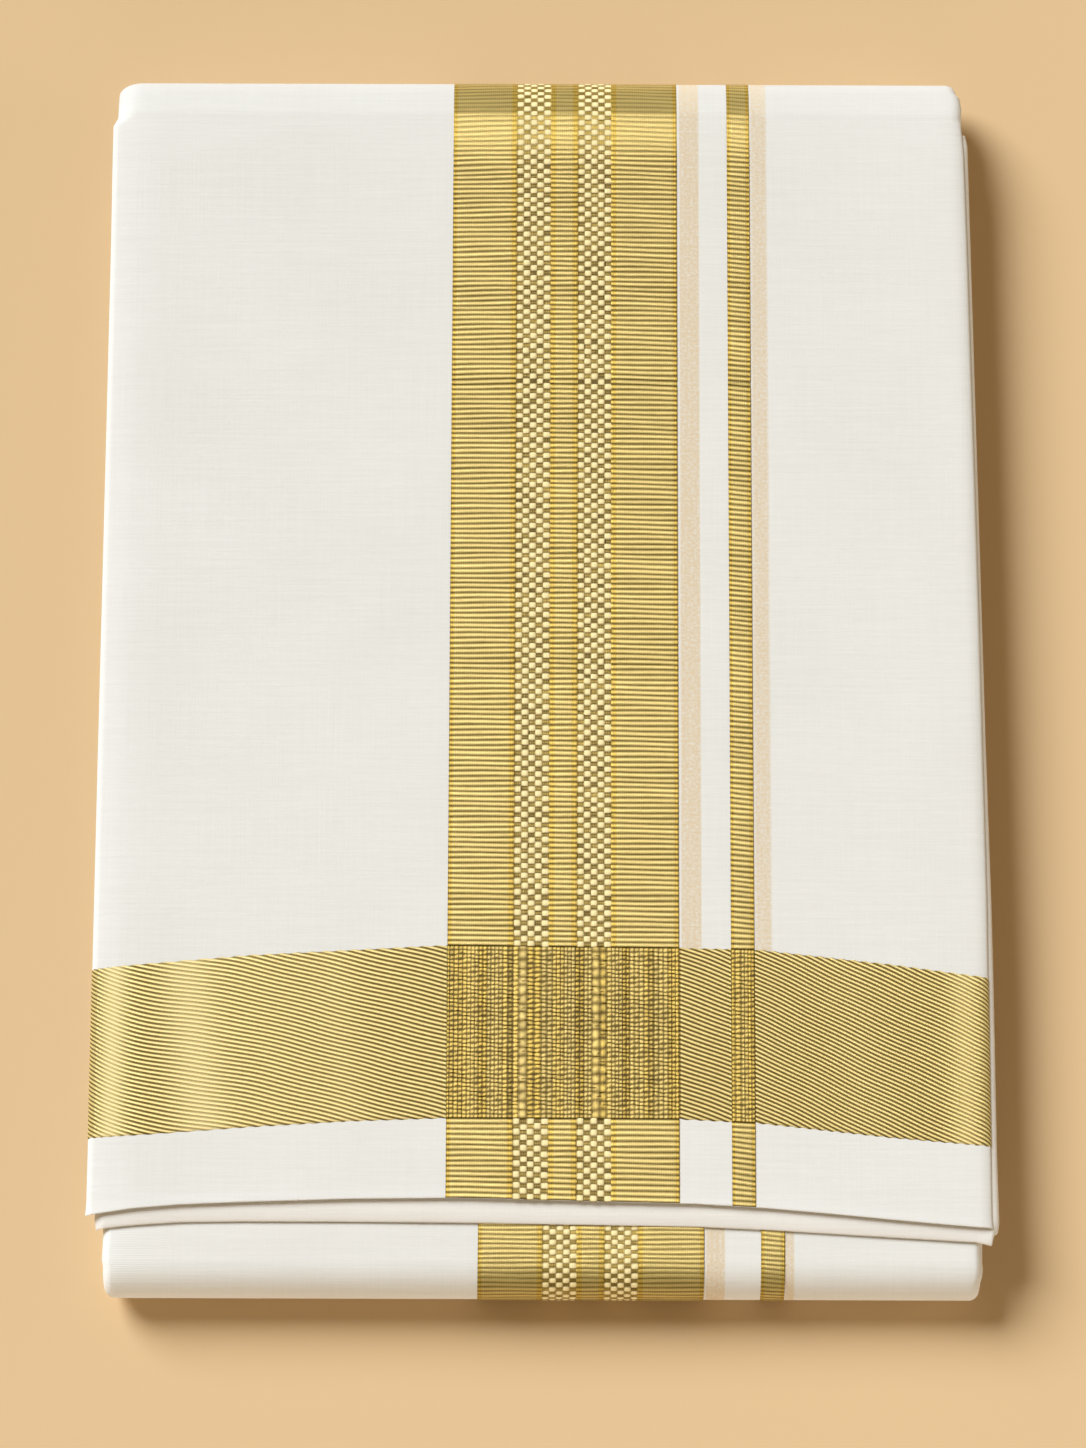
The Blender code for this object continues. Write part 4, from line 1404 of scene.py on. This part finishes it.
def core_outline(steps):
    """The hidden turns' outline seen from the side: points, their middle points, and how free each is."""
    near_middle = CORE_SKIN + CORE_NEAR_HALF
    turn = np.radians(np.linspace(90.0, 0.0, 20))
    y = NEAR_ROLL_Y + (CORE_SKIN - NEAR_ROLL_REACH) * np.sin(turn)
    rise = CORE_NEAR_HALF * np.cos(turn)
    near_top, near_low = (
        columns_of(y, near_middle + side * rise, NEAR_ROLL_Y, near_middle, 0.0) for side in (1, -1)
    )

    y = np.linspace(NEAR_ROLL_Y + 3.0, FAR_CENTRE_Y, steps)
    top = mixed(CORE_NEAR_TOP, CORE_FAR_TOP, eased((y - TUCK_END_Y) / TUCK_RAMP))
    free = within(y, TUCK_END_Y + FREE_INSIDE, CREASE_Y - FREE_INSIDE, FREE_RISE, FREE_FALL)
    middle = (top + CORE_SKIN) / 2
    upper = columns_of(y, top, y, middle, free)
    lower = columns_of(y, CORE_SKIN, y, middle, 0.0)

    angle = np.linspace(FAR_CREASE_ANGLE, 180.0, 41)
    inward = CORE_SKIN + PLY_STEP * fading(angle, FAR_CREASE_ANGLE, COVER_ANGLE)
    path = far_fold_path()
    picked = np.linspace(0, len(path) - 1, len(angle))
    y, z, out_y, out_z = (np.interp(picked, np.arange(len(path)), column) for column in path.T)
    free = FAR_FREE * within(angle, FAR_FREE_FROM, FAR_FREE_TO, FAR_FREE_RISE, FAR_FREE_FALL)
    y, z = y - out_y * inward, z - out_z * inward
    far = columns_of(y, z, FAR_CENTRE_Y, (CORE_FAR_TOP + CORE_SKIN) / 2, free)
    return np.vstack([near_top, upper, far, np.vstack([near_low, lower])[:0:-1]])


def core_rings(hand, outline):
    """Rings round one side of the hidden turns, from the outline in to the slit inside the last."""
    along = np.arange(len(outline)) / len(outline)
    edge_y, edge_z, middle_y, middle_z, free = outline.T
    covered = TURN_COVERED[hand > 0]
    rings, left_over = [], 1.0
    for turn in TURNS:
        stands = turn.right if hand > 0 else turn.left
        wave = np.sin(turn.waves * math.tau * along + turn.phase + hand)
        small = np.sin((turn.waves * 5 + 1) * math.tau * along + 2.0 * turn.phase)
        wandered = TURN_WAVE * np.abs(wave) + TURN_RIPPLE * small
        reached = mixed(covered, stands, free) - hand * wandered
        for sample in TURN_SAMPLES + ((1.0,) if turn is TURNS[-1] else ()):
            share = left_over - turn.share * sample
            x = reached - hand * TURN_DEPTH * (1.0 - dome(sample))
            rise = (edge_z - middle_z) * share
            sunk = sink(x, edge_y, rise / CORE_NEAR_HALF)
            rings.append(columns_of(x, mixed(middle_y, edge_y, share), middle_z + rise - sunk))
        left_over -= turn.share
    return rings


def make_fold_core(cloth):
    """The hidden turns, as one closed shell with a fine fold at both sides for each turn."""
    outline = core_outline(150)
    points = np.stack(core_rings(-1, outline)[::-1] + core_rings(1, outline))
    count = points.shape[1]
    if count % 2:
        raise ValueError("the turns' outline needs an even number of points")
    index = np.arange(points.shape[0] * count).reshape(points.shape[0], count)
    faces = [grid_faces(np.column_stack([index, index[:, 0]]))]
    for row, step in ((index[0], -1), (index[-1], 1)):
        strip = [(row[k], row[k + 1], row[-k - 2], row[-k - 1]) for k in range(count // 2 - 1)]
        faces.append(np.array(strip)[:, ::step])
    material = shared_material("turned_cotton", cotton_material, cloth, TURNED_SHADE, striped=False)
    flat = points.reshape(-1, 3)
    piece = make_object("fold_core_cotton", flat, np.vstack(faces), material)
    add_map(piece, np.column_stack([flat[:, 0] + TURNED_MAP_RISE * flat[:, 2], flat[:, 1]]))
    settle(piece, "fold_core")


def make_flap_borders(gold):
    """The main and the narrow border on the flap: above the end band and below it."""
    ply = flap_ply()
    material = shared_material("gold_rib", gold_material, gold)
    near, far = BAND_STRETCH
    whole = (far, level(ply.along[-1] - SEAM_MARGIN))
    for weave in (MAIN_WEAVE, NARROW_WEAVE):
        name = weave.stripe.name + "_border"
        border_piece(name, ply, weave, whole, gold, material, flat_at=FLAT_RIB_Y)
        tip = weave._replace(seed=weave.seed + 5, arch=0.0)
        border_piece(name + "_tip", ply, tip, (flap_edge, near), gold, material)


def make_wrap_borders(gold):
    """The two borders along the underside and round the near roll."""
    ply = wrap_ply()
    material = shared_material("gold_rib", gold_material, gold)
    roll_start = UNDERSIDE - BORDER_LEAD
    start, roll, tuck = level(SEAM_MARGIN), level(roll_start), level(roll_start + ROLL_BORDER)

    for weave in (MAIN_WEAVE, NARROW_WEAVE):
        name = weave.stripe.name + "_border"
        under = weave._replace(seed=weave.seed + 20, arch=0.0)
        near = weave._replace(seed=weave.seed + 25, pitch=ROLL_PITCH, arch=0.0, even=ROLL_EVEN_AND_SHADE)
        border_piece(name + "_under", ply, under, (start, roll), gold, material, True, UNDER_SAMPLES)
        border_piece(name + "_roll", ply, near, (roll, tuck), gold, material, True)


def make_end_band(gold):
    """The gold band across the flap's end, in the stretches that the borders part, and the crossings."""
    ply = flap_ply()
    twill = shared_material("gold_twill", gold_material, gold, rough=0.25, lined=True, bright=1.16)
    beads = shared_material("gold_beads", gold_material, gold, rough=0.40)
    middle = np.array([sum(edge(0.0) for edge in BAND_STRETCH) / 2])
    edges = [float(value[0]) for hand in HANDS for value in ply.turned_edge(hand, middle)[2:]]
    left, left_length, right, right_length = edges
    left_curl = np.linspace(left - left_length, left, CURL_COLUMNS["left"])
    right_curl = np.linspace(right, right + right_length, CURL_COLUMNS["right"])
    stretches = {
        "left": np.concatenate([left_curl, even_stops(left, MAIN.left, COLUMN_STEPS["left"])[1:]]),
        "middle": even_stops(MAIN.right, NARROW.left, COLUMN_STEPS["middle"]),
        "right": np.concatenate([even_stops(NARROW.right, right, COLUMN_STEPS["right"]), right_curl[1:]]),
    }
    for number, (name, columns) in enumerate(stretches.items()):
        twill_piece("end_band_" + name, ply, columns, gold, SEED + 40 + number, twill)
    bead_piece("main_crossing", ply, CROSSING, MAIN.left, gold, SEED + 50, beads)
    bead_piece("narrow_crossing", ply, NARROW_CROSSING, NARROW.left, gold, SEED + 51, beads)


# ---------------------------------------------------------------- operators


class DHOTI_OT_top_flap(bpy.types.Operator):
    """Make the flap's cotton"""

    bl_idname = "dhoti.top_flap"
    bl_label = "Top flap"

    def execute(self, context):
        make_top_flap(context.scene.dhoti_cloth)
        return {"FINISHED"}


class DHOTI_OT_under_ply(bpy.types.Operator):
    """Make the ply under the flap"""

    bl_idname = "dhoti.under_ply"
    bl_label = "Under ply"

    def execute(self, context):
        make_under_ply(context.scene.dhoti_cloth)
        return {"FINISHED"}


class DHOTI_OT_under_wrap(bpy.types.Operator):
    """Make the ply along the underside and round the near roll"""

    bl_idname = "dhoti.under_wrap"
    bl_label = "Under wrap"

    def execute(self, context):
        make_under_wrap(context.scene.dhoti_cloth)
        return {"FINISHED"}


class DHOTI_OT_fold_core(bpy.types.Operator):
    """Make the hidden turns"""

    bl_idname = "dhoti.fold_core"
    bl_label = "Fold core"

    def execute(self, context):
        make_fold_core(context.scene.dhoti_cloth)
        return {"FINISHED"}


class DHOTI_OT_flap_borders(bpy.types.Operator):
    """Weave the two borders on the flap"""

    bl_idname = "dhoti.flap_borders"
    bl_label = "Borders on the flap"

    def execute(self, context):
        make_flap_borders(context.scene.dhoti_gold)
        return {"FINISHED"}


class DHOTI_OT_end_band(bpy.types.Operator):
    """Weave the end band and its crossings"""

    bl_idname = "dhoti.end_band"
    bl_label = "End band"

    def execute(self, context):
        make_end_band(context.scene.dhoti_gold)
        return {"FINISHED"}


class DHOTI_OT_wrap_borders(bpy.types.Operator):
    """Weave the two borders on the underside and the near roll"""

    bl_idname = "dhoti.wrap_borders"
    bl_label = "Borders underneath"

    def execute(self, context):
        make_wrap_borders(context.scene.dhoti_gold)
        return {"FINISHED"}


class DHOTI_OT_declare(bpy.types.Operator):
    bl_idname = "dhoti.declare"
    bl_label = "Declare the sheets"

    def execute(self, context):
        return {"FINISHED"}


class DHOTI_OT_stage(bpy.types.Operator):
    """Set the floor, the light and the camera"""

    bl_idname = "dhoti.stage"
    bl_label = "Stage"

    def execute(self, context):
        make_stage(context.scene.dhoti_stage)
        return {"FINISHED"}


# The soft lamps: the setting that gives their watts and how many times it, their size and place in
# metres, whether glossy surfaces alone see them or matt ones alone, and whether they hang level or
# are turned to the packet
Lamp = namedtuple("Lamp", "name watts times size place glossy level")
LAMPS = (
    Lamp("fill", "fill", 1.0, (0.8, 0.8), (0.0, -1.7, 0.14), False, False),
    Lamp("side_fill", "fill", 0.5, (0.8, 0.8), (1.7, 0.0, 0.14), False, False),
    Lamp("gloss", "gloss", 1.0, (1.15, 0.9), (-0.275, 0.65, 2.2), True, False),
    Lamp("left_gloss", "side_gloss", 2.0, (0.14, 1.8), (-0.73, 0.36, 2.25), True, True),
    Lamp("right_gloss", "side_gloss", 1.0, (0.36, 1.8), (0.62, 0.36, 2.3), True, True),
)
GOLD_WHITE = (1.0, 0.98, 0.95)
FLOOR_SIZE = 6.0
FLOOR_DROP = 0.0002
# Where the camera looks on the packet's top, its sensor in millimetres and its nearest distance
AIM_Y = -0.017739
SENSOR = 36.0
NEAREST = 0.05


def add_softbox(lamp, stage):
    """One of the soft lamps."""
    bpy.ops.object.light_add(type="AREA", location=lamp.place)
    box = bpy.context.object
    box.name = lamp.name
    box.data.energy = lamp.times * getattr(stage, lamp.watts)
    box.data.shape = "RECTANGLE"
    box.data.size, box.data.size_y = lamp.size
    box.data.color = GOLD_WHITE if lamp.glossy else stage.fill_colour
    if not lamp.level:
        box.rotation_euler = (-Vector(lamp.place)).to_track_quat("-Z", "Y").to_euler()
    box.visible_diffuse = not lamp.glossy
    box.visible_glossy = lamp.glossy


def make_stage(stage):
    """The floor, the lights, the sky and the camera."""
    bpy.ops.object.select_all(action="DESELECT")
    bpy.ops.mesh.primitive_plane_add(size=FLOOR_SIZE, location=(0.0, 0.0, -FLOOR_DROP))
    floor = bpy.context.object
    floor.name = "floor"
    floor.data.materials.append(floor_material(stage))

    bpy.ops.object.light_add(type="SUN", rotation=(stage.key_height, 0.0, stage.key_turn))
    key = bpy.context.object
    key.name = "key"
    key.data.energy = stage.key
    key.data.angle = stage.key_softness
    key.data.color = stage.key_colour
    key.visible_glossy = False
    for lamp in LAMPS:
        add_softbox(lamp, stage)

    world = bpy.context.scene.world or bpy.data.worlds.new("studio")
    bpy.context.scene.world = world
    world.use_nodes = True
    background = world.node_tree.nodes["Background"]
    background.inputs["Color"].default_value = (*stage.sky_colour, 1.0)
    background.inputs["Strength"].default_value = stage.sky

    ahead = math.cos(stage.elevation)
    forward = Vector((math.sin(stage.turn) * ahead, math.cos(stage.turn) * ahead, -math.sin(stage.elevation)))
    aim = Vector((0.0, AIM_Y, PACKET_HEIGHT * MM))
    bpy.ops.object.camera_add(location=aim - forward * stage.camera_distance)
    camera = bpy.context.object
    camera.name = "camera"
    camera.rotation_euler = forward.to_track_quat("-Z", "Y").to_euler()
    camera.data.sensor_width = SENSOR
    camera.data.lens = stage.lens
    camera.data.clip_start = NEAREST
    bpy.context.scene.camera = camera
    bpy.context.scene.view_settings.view_transform = "Standard"


class DHOTI_PT_panel(bpy.types.Panel):
    """The dhoti's sizes, colours and steps"""

    bl_idname = "DHOTI_PT_panel"
    bl_label = "Folded dhoti"
    bl_space_type = "VIEW_3D"
    bl_region_type = "UI"
    bl_category = "Dhoti"

    def draw(self, context):
        for name, group in SETTINGS:
            box = self.layout.box()
            for key in group.__annotations__:
                box.prop(getattr(context.scene, name), key)
        for operator in OPERATORS:
            self.layout.operator(operator.bl_idname)


OPERATORS = (
    DHOTI_OT_stage,
    DHOTI_OT_fold_core,
    DHOTI_OT_under_wrap,
    DHOTI_OT_under_ply,
    DHOTI_OT_top_flap,
    DHOTI_OT_wrap_borders,
    DHOTI_OT_flap_borders,
    DHOTI_OT_end_band,
    DHOTI_OT_declare,
)
CLASSES = tuple(group for _, group in SETTINGS) + OPERATORS + (DHOTI_PT_panel,)


def register():
    """Registers the classes and hangs the settings on the scene."""
    for item in CLASSES:
        bpy.utils.register_class(item)
    for name, group in SETTINGS:
        setattr(bpy.types.Scene, name, bpy.props.PointerProperty(type=group))


def unregister():
    """Takes the settings and the classes away again."""
    for name, _ in SETTINGS:
        delattr(bpy.types.Scene, name)
    for item in reversed(CLASSES):
        bpy.utils.unregister_class(item)


def main():
    """Makes every piece in order."""
    register()
    for operator in OPERATORS:
        module, name = operator.bl_idname.split(".")
        getattr(getattr(bpy.ops, module), name)()


if __name__ == "__main__":
    main()
